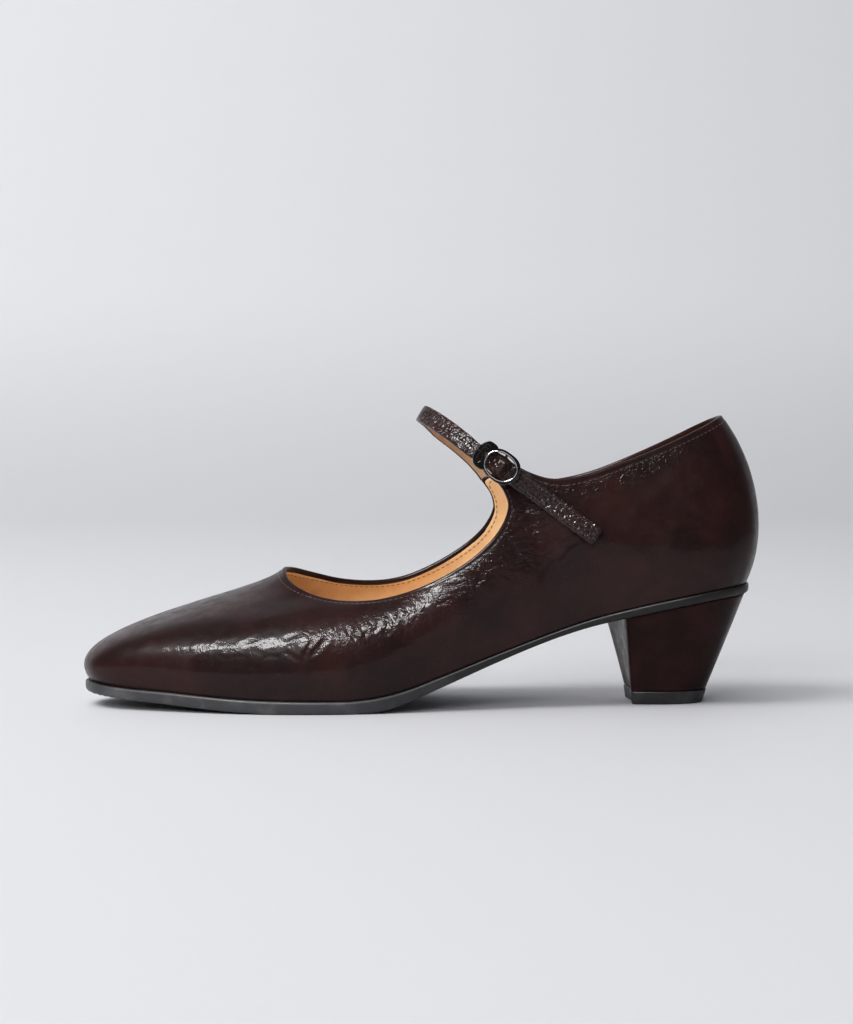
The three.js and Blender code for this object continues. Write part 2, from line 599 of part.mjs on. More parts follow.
// Heel outline: along from the breast (0) to the back (1), wide as a share of its half.
const heelOutline = [
  { turn: 0, along: 0, wide: 0 },
  { turn: 0.12, along: 0, wide: 0.42 },
  { turn: 0.22, along: 0, wide: 0.76 },
  { turn: 0.28, along: 0.025, wide: 0.9 },
  { turn: 0.34, along: 0.1, wide: 0.965 },
  { turn: 0.43, along: 0.27, wide: 1 },
  { turn: 0.53, along: 0.47, wide: 0.99 },
  { turn: 0.63, along: 0.66, wide: 0.925 },
  { turn: 0.73, along: 0.81, wide: 0.79 },
  { turn: 0.83, along: 0.92, wide: 0.58 },
  { turn: 0.92, along: 0.98, wide: 0.31 },
  { turn: 1, along: 1, wide: 0 },
];
const heelRound = round(
  heelOutline,
  heelOutline,
  (r, side) => ({ turn: r.turn, along: r.along, wide: side * r.wide }),
);

// Ring of the heel at a share of its height: 0 at the top lift, 1 under the seat.
function heelRing(share, grow, level) {
  const count = 44;
  const ring = [];
  const front = halfLength - THREE.MathUtils.lerp(heelFootFront, heelTopFront, share);
  const back = halfLength - THREE.MathUtils.lerp(heelFootBack, heelTopBack, share);
  const spread = 0.82 * share + 0.18 * share * share;
  const half = THREE.MathUtils.lerp(heelFootHalf, heelTopHalf, spread) + grow;
  for (let j = 0; j < count; j += 1) {
    const r = heelRound(1 - (2 * j) / count);
    const hollow = breastHollow * Math.max(0, 1 - r.wide * r.wide) * Math.max(0, 1 - 6 * r.along);
    const skew = breastSkew * Math.max(share, 0) * r.wide * Math.max(0, 1 - 6 * r.along);
    const x = front - grow + r.along * (back - front + 2 * grow) + hollow - skew;
    const y = r.wide * half;
    ring.push(new THREE.Vector3(x, y, level(x)));
  }
  return ring;
}

const heelHub = (front, back) => halfLength - (front + back) / 2;

function heelGeometry() {
  const low = liftThick + seam;
  const steps = 7;
  const rings = [];
  for (let k = 0; k <= steps; k += 1) {
    const share = k / steps;
    rings.push(heelRing(share, 0, (x) => {
      const top = bottomAt(x) - seam;
      return THREE.MathUtils.lerp(low, top, share);
    }));
  }
  return block(rings, () => low, (x) => bottomAt(x) - seam, heelHub(heelTopFront, heelTopBack));
}

function topLiftGeometry() {
  const rings = [
    heelRing(-0.02, -0.2, () => 0),
    heelRing(-0.02, 0.2, () => 0.4),
    heelRing(0, 0.2, () => liftThick),
  ];
  return block(rings, () => 0, () => liftThick, heelHub(heelFootFront, heelFootBack));
}

// Place on the outer side's face at a given length and height.
function sideAt(x, z) {
  let turn = -0.72;
  let t = 0.8;
  for (let k = 0; k < 40; k += 1) {
    const p = skin(turn, t);
    const ex = x - p.x;
    const ez = z - p.z;
    if (Math.abs(ex) + Math.abs(ez) < 1e-5) break;
    const e = 1e-4;
    const a = skin(turn + e, t).sub(p).multiplyScalar(1 / e);
    const b = skin(turn, t + e).sub(p).multiplyScalar(1 / e);
    const det = a.x * b.z - a.z * b.x;
    turn += THREE.MathUtils.clamp((ex * b.z - ez * b.x) / det, -0.05, 0.05);
    t += THREE.MathUtils.clamp((a.x * ez - a.z * ex) / det, -0.1, 0.1);
  }
  return skin(turn, t);
}

// Buckle's own axes on the outer side: along the strap to its tail, across it upwards,
// and off the shoe's face.
const slope = THREE.MathUtils.degToRad(strapSlope);
const buckleX = atX(buckleAt);
const buckleZ = buckleHigh * backHeight;
const buckleFoot = sideAt(buckleX, buckleZ);
const buckleNext = sideAt(
  buckleX + endRail * 4.3 * Math.cos(slope),
  buckleZ - endRail * 4.3 * Math.sin(slope),
);
const buckleAlong = new THREE.Vector3().subVectors(buckleNext, buckleFoot).normalize();
const buckleUp = new THREE.Vector3(Math.sin(slope), 0, Math.cos(slope));
const buckleOff = new THREE.Vector3().crossVectors(buckleAlong, buckleUp).normalize();
const buckleAcross = new THREE.Vector3().crossVectors(buckleOff, buckleAlong);
const buckleFrame = new THREE.Matrix4()
  .makeBasis(buckleAlong, buckleAcross, buckleOff)
  .setPosition(buckleFoot);

const strapTail = 43.1;
const frameLevel = 3.85;
const frameThick = 1.7;
const barLevel = 1.85;
const barRadius = 0.5;
const loopRadius = 1.5;
const tabLow = 0.42;
const tabThick = 0.9;
const tabLong = 10.5;
const tabWide = 6;

// Strap from the buckle to its end: run along it from the window's centre, as a share
// of the tail, and its outer face's height off the shoe as a share of its thickness.
const strapTailRows = [
  { run: -0.2, lift: 1.56, full: 1 },
  { run: -0.14, lift: 1.83, full: 1 },
  { run: -0.086, lift: 1.88, full: 0.98 },
  { run: -0.05, lift: 2.6, full: 1.04 },
  { run: -0.022, lift: 3.16, full: 1.07 },
  { run: 0, lift: 3.26, full: 1.08 },
  { run: 0.022, lift: 3.16, full: 1.07 },
  { run: 0.05, lift: 2.6, full: 1.04 },
  { run: 0.086, lift: 1.88, full: 0.98 },
  { run: 0.14, lift: 1.9, full: 1 },
  { run: 0.25, lift: 1.92, full: 1 },
  { run: 0.35, lift: 1.6, full: 1 },
  { run: 0.5, lift: 1.25, full: 1 },
  { run: 0.75, lift: 1.22, full: 1 },
  { run: 1, lift: 1.4, full: 1 },
];

function strapLine() {
  const rows = strapOver.map((r) => ({
    front: new THREE.Vector3(atX(r.frontAt), r.frontWide * ballWidth, r.frontHigh * backHeight),
    back: new THREE.Vector3(atX(r.backAt), r.backWide * ballWidth, r.backHigh * backHeight),
  }));
  for (const r of strapTailRows) {
    const run = r.run * strapTail;
    const lift = r.lift * strapThick;
    const edge = (side) => {
      const p = new THREE.Vector3(run, side * r.full * strapWidth / 2, lift);
      p.applyMatrix4(buckleFrame);
      if (run > 0) p.y = sideAt(p.x, p.z).y - lift;
      return p;
    };
    rows.push({ front: edge(-1), back: edge(1) });
  }
  let turn = 0;
  return rows.map((r, i) => {
    const middle = new THREE.Vector3().addVectors(r.front, r.back).multiplyScalar(0.5);
    if (i > 0) {
      const q = rows[i - 1];
      const before = new THREE.Vector3().addVectors(q.front, q.back).multiplyScalar(0.5);
      turn += middle.distanceTo(before);
    }
    return {
      turn,
      fx: r.front.x,
      fy: r.front.y,
      fz: r.front.z,
      bx: r.back.x,
      by: r.back.y,
      bz: r.back.z,
    };
  });
}

function strapGeometry() {
  const line = strapLine();
  const along = smooth(line, 'turn');
  const long = line[line.length - 1].turn;
  const edges = (turn) => {
    const r = along(turn);
    return [new THREE.Vector3(r.fx, r.fy, r.fz), new THREE.Vector3(r.bx, r.by, r.bz)];
  };
  const middle = (turn) => {
    const [a, b] = edges(turn);
    return a.add(b).multiplyScalar(0.5);
  };
  const c = strapChamfer;
  const near = 0.3 * strapThick;
  const steps = 58;
  const rings = [];
  for (let k = 0; k <= steps; k += 1) {
    const turn = (long * k) / steps;
    const [front, back] = edges(turn);
    const centre = new THREE.Vector3().addVectors(front, back).multiplyScalar(0.5);
    const across = new THREE.Vector3().subVectors(back, front);
    const half = across.length() / 2;
    across.normalize();
    const ahead = middle(Math.min(turn + near, long));
    const tangent = ahead.sub(middle(Math.max(turn - near, 0))).normalize();
    const off = new THREE.Vector3().crossVectors(tangent, across).normalize();
    const at = (w, h) => centre.clone().addScaledVector(across, w).addScaledVector(off, h);
    const t = strapThick;
    rings.push([
      at(-half + c, 0), at(half - c, 0), at(half, -c), at(half, -t + c),
      at(half - c, -t), at(-half + c, -t), at(-half, -t + c), at(-half, -c),
    ]);
  }
  return sleeve(rings);
}

// Sleeve: rings joined one to the next, closed flat at both ends.
function sleeve(rings) {
  const size = rings[0].length;
  const faces = [];
  for (let k = 0; k + 1 < rings.length; k += 1) {
    for (let j = 0; j < size; j += 1) {
      const n = (j + 1) % size;
      bridge(faces, k * size + j, k * size + n, (k + 1) * size + n, (k + 1) * size + j);
    }
  }
  const last = (rings.length - 1) * size;
  for (let j = 1; j + 1 < size; j += 1) {
    faces.push([0, j + 1, j]);
    faces.push([last, last + j, last + j + 1]);
  }
  return solid(rings.flat(), faces);
}

function roundedPath(path, x0, x1, half, left, right) {
  path.moveTo(x0 + left, -half);
  path.lineTo(x1 - right, -half);
  path.absarc(x1 - right, -half + right, right, -Math.PI / 2, 0, false);
  path.absarc(x1 - right, half - right, right, 0, Math.PI / 2, false);
  path.lineTo(x0 + left, half);
  path.absarc(x0 + left, half - left, left, Math.PI / 2, Math.PI, false);
  path.absarc(x0 + left, -half + left, left, Math.PI, 1.5 * Math.PI, false);
  return path;
}

const wasm = await Module();
wasm.setup();

function toManifold(geometry) {
  let g = geometry.index ? geometry.clone() : geometry;
  for (const name of Object.keys(g.attributes)) {
    if (name !== 'position') g.deleteAttribute(name);
  }
  g = mergeVertices(g, 1e-3);
  return new wasm.Manifold(new wasm.Mesh({
    numProp: 3,
    vertProperties: new Float32Array(g.attributes.position.array),
    triVerts: new Uint32Array(g.index.array),
  }));
}

function fromManifold(manifold) {
  const mesh = manifold.getMesh();
  const geometry = new THREE.BufferGeometry();
  const flat = [];
  for (let i = 0; i < mesh.vertProperties.length; i += mesh.numProp) {
    flat.push(mesh.vertProperties[i], mesh.vertProperties[i + 1], mesh.vertProperties[i + 2]);
  }
  geometry.setAttribute('position', new THREE.Float32BufferAttribute(flat, 3));
  geometry.setIndex(Array.from(mesh.triVerts));
  geometry.computeVertexNormals();
  return geometry;
}

function buckleGeometry() {
  const windowEnd = windowLong / 2;
  const slotEnd = -windowEnd - crossRail;
  const x0 = slotEnd - slotLong - slotRail;
  const x1 = windowEnd + endRail;
  const shape = roundedPath(new THREE.Shape(), x0, x1, frameHalf, 0.74 * frameHalf, 0.9 * frameHalf);
  const window = roundedPath(
    new THREE.Path(), -windowEnd, windowEnd, windowHalf, 0.88 * windowHalf, 0.88 * windowHalf,
  );
  const slot = roundedPath(
    new THREE.Path(), slotEnd - slotLong, slotEnd, 0.8 * windowHalf, 0.47 * slotLong, 0.47 * slotLong,
  );
  shape.holes.push(window);
  shape.holes.push(slot);
  const bevel = frameBevel;
  const plate = new THREE.ExtrudeGeometry(shape, {
    depth: frameThick - 2 * bevel,
    bevelEnabled: true,
    bevelThickness: bevel,
    bevelSize: bevel,
    bevelOffset: -bevel,
    bevelSegments: 1,
    curveSegments: 7,
  });
  plate.translate(0, 0, frameLevel + bevel);
  const barEnd = windowHalf + 0.45 * railWide;
  const bar = new THREE.CylinderGeometry(barRadius, barRadius, 2 * barEnd, 12);
  bar.translate(0, 0, barLevel);
  let body = toManifold(plate).add(toManifold(bar));
  for (const side of [-1, 1]) {
    const postHigh = frameLevel + 0.3 * frameThick - barLevel + barRadius;
    const post = new THREE.BoxGeometry(postLong, postWide, postHigh);
    post.translate(0, side * barEnd, barLevel - barRadius + postHigh / 2);
    body = body.add(toManifold(post));
  }
  return fromManifold(body).applyMatrix4(buckleFrame);
}

function tabGeometry() {
  const shape = new THREE.Shape();
  const join = Math.asin((tabLow + tabThick - barLevel) / loopRadius);
  shape.moveTo(tabLong, tabLow);
  shape.lineTo(tabLong, tabLow + tabThick);
  shape.lineTo(loopRadius * Math.cos(join), tabLow + tabThick);
  shape.absarc(0, barLevel, loopRadius, join, -Math.PI / 2, false);
  const hole = new THREE.Path();
  hole.absarc(0, barLevel, barRadius + seam, 0, 2 * Math.PI, true);
  shape.holes.push(hole);
  const tab = new THREE.ExtrudeGeometry(shape, {
    depth: tabWide,
    bevelEnabled: false,
    curveSegments: 14,
  });
  tab.translate(0, 0, -tabWide / 2);
  tab.applyMatrix4(new THREE.Matrix4().makeRotationX(Math.PI / 2));
  return fromManifold(toManifold(tab)).applyMatrix4(buckleFrame);
}


const pieces = [
  ['outsole', outsoleGeometry(), 0x2b2b2d, 0.65, 0],
  ['heel', heelGeometry(), 0x2a1b1a, 0.35, 0],
  ['top_lift', topLiftGeometry(), 0x242426, 0.7, 0],
  ['insole', insoleGeometry(), 0xb98a55, 0.6, 0],
  ['upper', upperGeometry(), 0x3a1f1d, 0.3, 0],
  ['strap', strapGeometry(), 0x321a18, 0.3, 0],
  ['buckle_frame', buckleGeometry(), 0x1b1b1d, 0.3, 0.8],
  ['buckle_tab', tabGeometry(), 0x2e1817, 0.5, 0],
];

// The shoe stands over the origin, in the middle of its own box.
const box = new THREE.Box3();
for (const [, geometry] of pieces) {
  geometry.computeBoundingBox();
  box.union(geometry.boundingBox);
}
const centre = box.getCenter(new THREE.Vector3());
for (const [, geometry] of pieces) geometry.translate(-centre.x, -centre.y, -box.min.z);

const shoe = new THREE.Group();
shoe.name = 'mary_jane_shoe';
for (const [name, geometry, color, roughness, metalness] of pieces) {
  const material = new THREE.MeshStandardMaterial({ color, roughness, metalness });
  material.name = `${name}_material`;
  const mesh = new THREE.Mesh(geometry, material);
  mesh.name = name;
  shoe.add(mesh);
}

export default shoe;
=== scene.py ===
"""A left mary jane shoe, standing empty on its sole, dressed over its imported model.

Lengths are in millimetres until a mesh is placed. The toe points to -X, the heel to +X
and the outer side, with the buckle, to -Y.
"""
import math

import bmesh
import bpy
import numpy as np
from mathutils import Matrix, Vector, noise


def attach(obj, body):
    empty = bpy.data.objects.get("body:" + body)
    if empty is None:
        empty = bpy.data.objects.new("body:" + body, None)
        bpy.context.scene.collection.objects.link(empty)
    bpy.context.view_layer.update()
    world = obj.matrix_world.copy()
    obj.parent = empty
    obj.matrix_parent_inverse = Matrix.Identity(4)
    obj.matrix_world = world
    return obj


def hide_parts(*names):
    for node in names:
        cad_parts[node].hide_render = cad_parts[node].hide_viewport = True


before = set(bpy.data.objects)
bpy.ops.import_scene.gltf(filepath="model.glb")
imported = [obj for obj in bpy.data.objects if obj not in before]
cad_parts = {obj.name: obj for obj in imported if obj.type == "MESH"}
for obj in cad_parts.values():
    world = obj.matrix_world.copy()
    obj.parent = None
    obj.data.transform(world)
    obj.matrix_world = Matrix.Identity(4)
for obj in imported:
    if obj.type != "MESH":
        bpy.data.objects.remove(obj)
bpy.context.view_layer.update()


# Camera. It looks square at the shoe's outer side from just above the sole, a little
# from the toe, and far enough off that the two sides of the mouth lie close together.
MM = 0.001
CAMERA_OFF = 1100.0
CAMERA_TURN = math.radians(-2.5)
CAMERA_RISE = math.radians(3.0)
CAMERA_AIM = (1.492, 1.124, 69.4)
SENSOR = 36.0
MM_PER_PIXEL = 0.3644
IMAGE_HEIGHT = 1024


def new_object(name, data):
    made = bpy.data.objects.new(name, data)
    bpy.context.collection.objects.link(made)
    return made


back = Vector((math.sin(CAMERA_TURN) * math.cos(CAMERA_RISE), -math.cos(CAMERA_TURN) * math.cos(CAMERA_RISE),
               math.sin(CAMERA_RISE)))
camera_data = bpy.data.cameras.new("camera")
camera_data.sensor_width = SENSOR
camera_data.lens = SENSOR * (CAMERA_OFF / MM_PER_PIXEL) / IMAGE_HEIGHT
camera_data.clip_start = 0.01
camera_data.clip_end = 50.0
camera = new_object("camera", camera_data)
camera.location = (Vector(CAMERA_AIM) + back * CAMERA_OFF) * MM
camera.rotation_mode = "QUATERNION"
camera.rotation_quaternion = (-back).to_track_quat("-Z", "Y")
bpy.context.scene.camera = camera


# Outsole. One moulded black rubber unit from the toe to the seat of the heel, with a
# rounded edge that stands out past the upper, a thin waist and a finely ribbed tread.
# It is cemented under the upper.
SHOE_LENGTH = 246.0
BALL_WIDTH = 78.0
BACK_HEIGHT = 105.0
HALF_LENGTH = SHOE_LENGTH / 2
# The gap left between glued pieces, and where the nought of these lengths lies in the
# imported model.
SEAM = 0.3
MIDDLE = np.array((0.032, 1.124, 0.0))

# Round the sole's edge: turn from the toe (0) to the back (1), length as a share of the
# shoe's, half widths on the outer and inner sides as shares of the ball's width.
OUTLINE = (
    (0, 0.0077, 0, 0), (0.03, 0.0126, 0.0897, 0.0949), (0.06, 0.0236, 0.1667, 0.1718),
    (0.09, 0.0447, 0.2333, 0.2359), (0.12, 0.0732, 0.2833, 0.2795), (0.16, 0.1179, 0.3436, 0.3346),
    (0.2, 0.1687, 0.4051, 0.391), (0.24, 0.2195, 0.4538, 0.4359), (0.28, 0.2724, 0.4872, 0.4615),
    (0.32, 0.3252, 0.5013, 0.4641), (0.36, 0.376, 0.4987, 0.4397), (0.4, 0.4248, 0.4782, 0.3974),
    (0.44, 0.4695, 0.4449, 0.3577), (0.48, 0.5122, 0.4103, 0.3231), (0.52, 0.5528, 0.3821, 0.2949),
    (0.56, 0.5915, 0.359, 0.2744), (0.62, 0.6423, 0.3372, 0.259), (0.68, 0.685, 0.3244, 0.2564),
    (0.745, 0.7297, 0.3205, 0.2628), (0.8, 0.7764, 0.3218, 0.2769), (0.86, 0.8354, 0.3256, 0.2962),
    (0.92, 0.9024, 0.3077, 0.2974), (0.945, 0.9321, 0.2744, 0.2705), (0.965, 0.9545, 0.2231, 0.2231),
    (0.985, 0.974, 0.1321, 0.1333), (1, 0.9821, 0, 0),
)
# Along the shoe: height of the sole's top, its thickness, and how far its edge stands out.
PROFILE = (
    (0.0077, 0.0848, 0.0371, 0.0192), (0.0467, 0.0762, 0.0371, 0.0192), (0.0854, 0.0705, 0.039, 0.0192),
    (0.126, 0.0657, 0.041, 0.0192), (0.1707, 0.0581, 0.0419, 0.0192), (0.2167, 0.0505, 0.0429, 0.0192),
    (0.2642, 0.0457, 0.0438, 0.0192), (0.3049, 0.0438, 0.0438, 0.0192), (0.3496, 0.0429, 0.0429, 0.0192),
    (0.3943, 0.0438, 0.0438, 0.0192), (0.439, 0.0571, 0.0476, 0.0186), (0.4732, 0.0771, 0.0438, 0.0179),
    (0.5122, 0.1095, 0.0381, 0.0167), (0.5528, 0.1448, 0.0333, 0.0141), (0.6016, 0.1886, 0.0286, 0.0122),
    (0.6463, 0.2276, 0.0248, 0.0109), (0.6955, 0.2695, 0.0238, 0.0103), (0.7394, 0.3038, 0.0257, 0.0103),
    (0.7833, 0.3314, 0.0286, 0.0103), (0.8268, 0.3552, 0.0305, 0.0103), (0.8659, 0.3743, 0.0305, 0.0103),
    (0.9004, 0.3895, 0.0305, 0.0103), (0.9411, 0.4048, 0.0305, 0.0103), (0.9821, 0.4152, 0.0314, 0.0103),
)


class Through:
    """Smooth line through a table's rows; the first column is what it is looked up by."""

    def __init__(self, rows, period=None):
        rows = np.array(rows, float)
        count = len(rows)
        index = np.arange(-1, count + 2)
        if period:
            key = rows[index % count, 0] + period * np.floor(index / count)
            value = rows[index % count, 1:]
            self.last = count - 1
        else:
            index = np.clip(index, 0, count - 1)
            key, value = rows[index, 0], rows[index, 1:]
            self.last = count - 2
        before = (key[1:-1] - key[:-2])[:, None]
        after = (key[2:] - key[1:-1])[:, None]
        with np.errstate(divide="ignore", invalid="ignore"):
            left = (value[1:-1] - value[:-2]) / before
            right = (value[2:] - value[1:-1]) / after
            slope = (left * after + right * before) / (before + after)
        slope = np.where(before > 0, slope, right)
        slope = np.where(after > 0, slope, left)
        self.key, self.value, self.slope, self.period = key[1:-1], value[1:-1], slope, period

    def __call__(self, at):
        at = np.asarray(at, float)
        if self.period:
            at = self.key[0] + np.mod(at - self.key[0], self.period)
        i = np.clip(np.searchsorted(self.key, at, side="right") - 1, 0, self.last)
        h = self.key[i + 1] - self.key[i]
        low, high = (0.0, 1.0) if self.period else (-0.5, 1.5)
        t = np.clip((at - self.key[i]) / h, low, high)[..., None]
        h = h[..., None]
        a, b = self.value[i], self.value[i + 1]
        ma, mb = self.slope[i] * h, self.slope[i + 1] * h
        out = (2 * t**3 - 3 * t**2 + 1) * a + (t**3 - 2 * t**2 + t) * ma
        return out + (3 * t**2 - 2 * t**3) * b + (t**3 - t**2) * mb


def both_sides(lateral, medial, side_column):
    """One closed round from two tables. Turns and side are negative on the outer side."""
    lateral, medial = np.array(lateral, float), np.array(medial, float)
    lateral[:, side_column] *= -1
    lateral[:, 0] *= -1
    medial = medial[(medial[:, 0] > 0) & (medial[:, 0] < 1)]
    return Through(np.vstack((lateral[::-1], medial)), period=2.0)


OUTLINE = np.array(OUTLINE)
foot_round = both_sides(OUTLINE[:, (0, 1, 2)], OUTLINE[:, (0, 1, 3)], 2)
sole_line = Through(PROFILE)


def rise_at(x):
    return sole_line((x + HALF_LENGTH) / SHOE_LENGTH)[..., 0] * BACK_HEIGHT


def thick_at(x):
    return sole_line((x + HALF_LENGTH) / SHOE_LENGTH)[..., 1] * BACK_HEIGHT


def ledge_at(x):
    return sole_line((x + HALF_LENGTH) / SHOE_LENGTH)[..., 2] * BALL_WIDTH


def bottom_at(x):
    return np.maximum(rise_at(x) - thick_at(x), 0.0)


def foot_point(turn):
    """The upper's outline on the sole, at a turn."""
    row = foot_round(turn)
    return np.stack((row[..., 0] * SHOE_LENGTH - HALF_LENGTH, row[..., 1] * BALL_WIDTH), -1)


def unit(v):
    return v / np.linalg.norm(v, axis=-1, keepdims=True)


def foot_outward(turn):
    step = foot_point(turn + 0.004) - foot_point(turn - 0.004)
    return unit(np.stack((-step[..., 1], step[..., 0]), -1))


def placed_mesh(name, points, faces, materials, picks=None):
    """A smooth object, faces outwards and its place in its mesh, from millimetre points."""
    mesh = bpy.data.meshes.new(name)
    points = (np.asarray(points, float) + MIDDLE) * MM
    mesh.from_pydata(points.tolist(), [], [list(map(int, face)) for face in faces])
    for material in materials:
        mesh.materials.append(material)
    if picks is not None:
        mesh.polygons.foreach_set("material_index", np.asarray(picks, np.int32))
    mesh.polygons.foreach_set("use_smooth", [True] * len(mesh.polygons))
    work = bmesh.new()
    work.from_mesh(mesh)
    bmesh.ops.recalc_face_normals(work, faces=work.faces)
    work.to_mesh(mesh)
    work.free()
    mesh.update()
    return new_object(name, mesh)


def ring_faces(ring_count, size, closed=False):
    """Quads between rings of points that follow one another."""
    faces = []
    for k in range(ring_count if closed else ring_count - 1):
        a, b = k * size, ((k + 1) % ring_count) * size
        for j in range(size):
            n = (j + 1) % size
            faces.append((a + j, a + n, b + n, b + j))
    return faces


def across_faces(points, start, size, level, across, turned):
    """Fills a closed outline straight across from side to side, each point at its level."""
    half = size // 2
    rows, faces = [], []
    for j in range(1, half):
        a, b = points[start + j], points[start + size - j]
        line = [start + j]
        for i in range(1, across):
            p = a + (b - a) * i / across
            points.append(np.array((p[0], p[1], level(p, i / across))))
            line.append(len(points) - 1)
        line.append(start + size - j)
        rows.append(line)
    for i in range(across):
        faces.append((start, rows[0][i + 1], rows[0][i]))
        faces.append((start + half, rows[-1][i], rows[-1][i + 1]))
    for low, high in zip(rows, rows[1:]):
        for i in range(across):
            faces.append((low[i], low[i + 1], high[i + 1], high[i]))
    return [face[::-1] for face in faces] if turned else faces


class Finish:
    """A material with its shader, and short ways to add the patterns it is made of."""

    def __init__(self, name, colour, roughness, **sockets):
        self.material = bpy.data.materials.new(name)
        self.material.use_nodes = True
        self.nodes, self.links = self.material.node_tree.nodes, self.material.node_tree.links
        self.shader = self.nodes["Principled BSDF"]
        self.shader.inputs["Base Color"].default_value = (*colour, 1.0)
        self.shader.inputs["Roughness"].default_value = roughness
        for socket, value in sockets.items():
            self.shader.inputs[socket.replace("_", " ")].default_value = value
        self.coords = self.nodes.new("ShaderNodeTexCoord").outputs["Object"]

    def node(self, kind, settings=(), **inputs):
        made = self.nodes.new("ShaderNode" + kind)
        for key, value in dict(settings).items():
            setattr(made, key, value)
        for key, value in inputs.items():
            socket = made.inputs[int(key[2:]) if key[2:].isdigit() else key.replace("_", " ")]
            if isinstance(value, bpy.types.NodeSocket):
                self.links.new(value, socket)
            else:
                socket.default_value = value
        return made

    def spot(self, stretch=(1, 1, 1), turned=(0, 0, 0)):
        """Places on the object, stretched and turned in degrees."""
        turned = [math.radians(v) for v in turned]
        return self.node("Mapping", Vector=self.coords, Scale=stretch, Rotation=turned).outputs[0]

    def cloud(self, scale, detail=2.0, rough=0.5, distort=0.0, stretch=(1, 1, 1), turned=(0, 0, 0)):
        return self.node("TexNoise", Vector=self.spot(stretch, turned), Scale=scale, Detail=detail,
                         Roughness=rough, Distortion=distort).outputs[0]

    def cells(self, scale, feature="F1"):
        pattern = self.node("TexVoronoi", {"feature": feature}, Vector=self.spot(), Scale=scale)
        return pattern.outputs["Distance"]

    def band(self, value, low, high, to_low=0.0, to_high=1.0):
        """A pattern's range between two values, as a soft step between two others."""
        return self.node("MapRange", {"interpolation_type": "SMOOTHSTEP"}, Value=value, From_Min=low,
                         From_Max=high, To_Min=to_low, To_Max=to_high).outputs[0]

    def worked(self, how, a, b=0.0):
        return self.node("Math", {"operation": how}, in0=a, in1=b).outputs[0]

    def blend(self, factor, a, b):
        mix = self.nodes.new("ShaderNodeMix")
        mix.data_type = "RGBA"
        for index, value in ((0, factor), (6, a), (7, b)):
            if isinstance(value, bpy.types.NodeSocket):
                self.links.new(value, mix.inputs[index])
            else:
                mix.inputs[index].default_value = value if index == 0 else (*value, 1.0)
        return mix.outputs[2]

    def pointed(self):
        return self.node("NewGeometry").outputs["Pointiness"]

    def colour(self, socket):
        self.links.new(socket, self.shader.inputs["Base Color"])

    def roughness(self, pattern, low, high, smooth, rough):
        self.links.new(self.band(pattern, low, high, smooth, rough), self.shader.inputs["Roughness"])

    def relief(self, *layers):
        """Bumps laid over one another: each a pattern, its depth in millimetres, its strength."""
        normal = None
        for height, depth, strength in layers:
            bump = self.node("Bump", Height=height, Distance=depth * MM, Strength=strength)
            if normal is not None:
                self.links.new(normal, bump.inputs["Normal"])
            normal = bump.outputs[0]
        self.links.new(normal, self.shader.inputs["Normal"])
        if self.shader.inputs["Coat Weight"].default_value > 0:
            self.links.new(normal, self.shader.inputs["Coat Normal"])


def rubber_finish(name, colour, behind=None):
    """Matt black rubber, dusty in patches. It may have a darker colour behind the forefoot, painted shade
    under the arch.
    """
    rubber = Finish(name, colour, 0.42, Specular_IOR_Level=0.35)
    dust = rubber.band(rubber.cloud(90, 5, 0.6), 0.45, 0.75)
    lighter = tuple(min(1.0, v * 1.9 + 0.012) for v in colour)
    shade = rubber.blend(dust, colour, lighter)
    if behind is not None:
        length = rubber.node("SeparateXYZ", Vector=rubber.coords).outputs["X"]
        # Behind the forefoot the rubber goes over to the darker colour: painted shade of the waist and seat
        # under the arch.
        shade = rubber.blend(rubber.band(length, -0.045, 0.035), shade, behind)
    rubber.colour(shade)
    rubber.roughness(rubber.cloud(240, 3, 0.6), 0.3, 0.7, 0.36, 0.56)
    rubber.relief((rubber.cloud(2600, 2, 0.6), 0.03, 0.35), (rubber.cloud(420, 3, 0.5), 0.08, 0.25))
    return rubber.material


SOLE_STATIONS = 300
TREAD_PITCH = 2.2
TREAD_DEPTH = 0.35
LAST_ACROSS = 12
ENDS_CLOSER = 0.012
# The ribs cut the low edge ahead of the first length and end before the second.
TOE_RIBS_FROM = -84.0
TOE_RIBS_FADE = 12.0
TREAD_END = 66.0
TREAD_FADE = 6.0
SOLE_BLACK = (0.038, 0.038, 0.041)
# Near black: painted shade of the waist and seat, under the arch of the upper.
WAIST_PAINTED_SHADE = (0.006, 0.006, 0.006)
half_turns = np.linspace(0.0, 1.0, SOLE_STATIONS + 1)
half_turns = half_turns - ENDS_CLOSER * np.sin(2 * np.pi * half_turns)
sole_turns = np.concatenate((-half_turns[:0:-1], half_turns[:-1]))


def foot_ring(ledge, offset, level):
    """A closed line round the foot, out by a share of the sole's ledge and a length."""
    foot = foot_point(sole_turns)
    far = ledge * ledge_at(foot[:, 0]) + offset
    p = foot + foot_outward(sole_turns) * far[:, None]
    return np.column_stack((p, level(p[:, 0])))


def tread_rib(x):
    return 0.5 - 0.5 * np.cos(2 * np.pi * x / TREAD_PITCH)


# The edge, from the sole's top round to its tread: share of the height, and reach in from
# its widest line. The tread's ribs run out through the low edge near the toe.
SOLE_EDGE = (
    (1.0, -1.3), (0.995, -0.75), (0.97, -0.42), (0.92, -0.2), (0.85, -0.06), (0.74, 0.0), (0.5, -0.02),
    (0.3, -0.06), (0.18, -0.16), (0.1, -0.32), (0.04, -0.6), (0.0, -1.0),
)


def edge_level(share):
    """Height of the edge at a share of its thickness, ribbed low down near the toe."""
    def level(x):
        low = bottom_at(x)
        toe = np.clip((TOE_RIBS_FROM - x) / TOE_RIBS_FADE, 0, 1) * np.clip(1 - share * 4, 0, 1)
        return low + share * (rise_at(x) - low) + 0.5 * TREAD_DEPTH * tread_rib(x) * toe
    return level


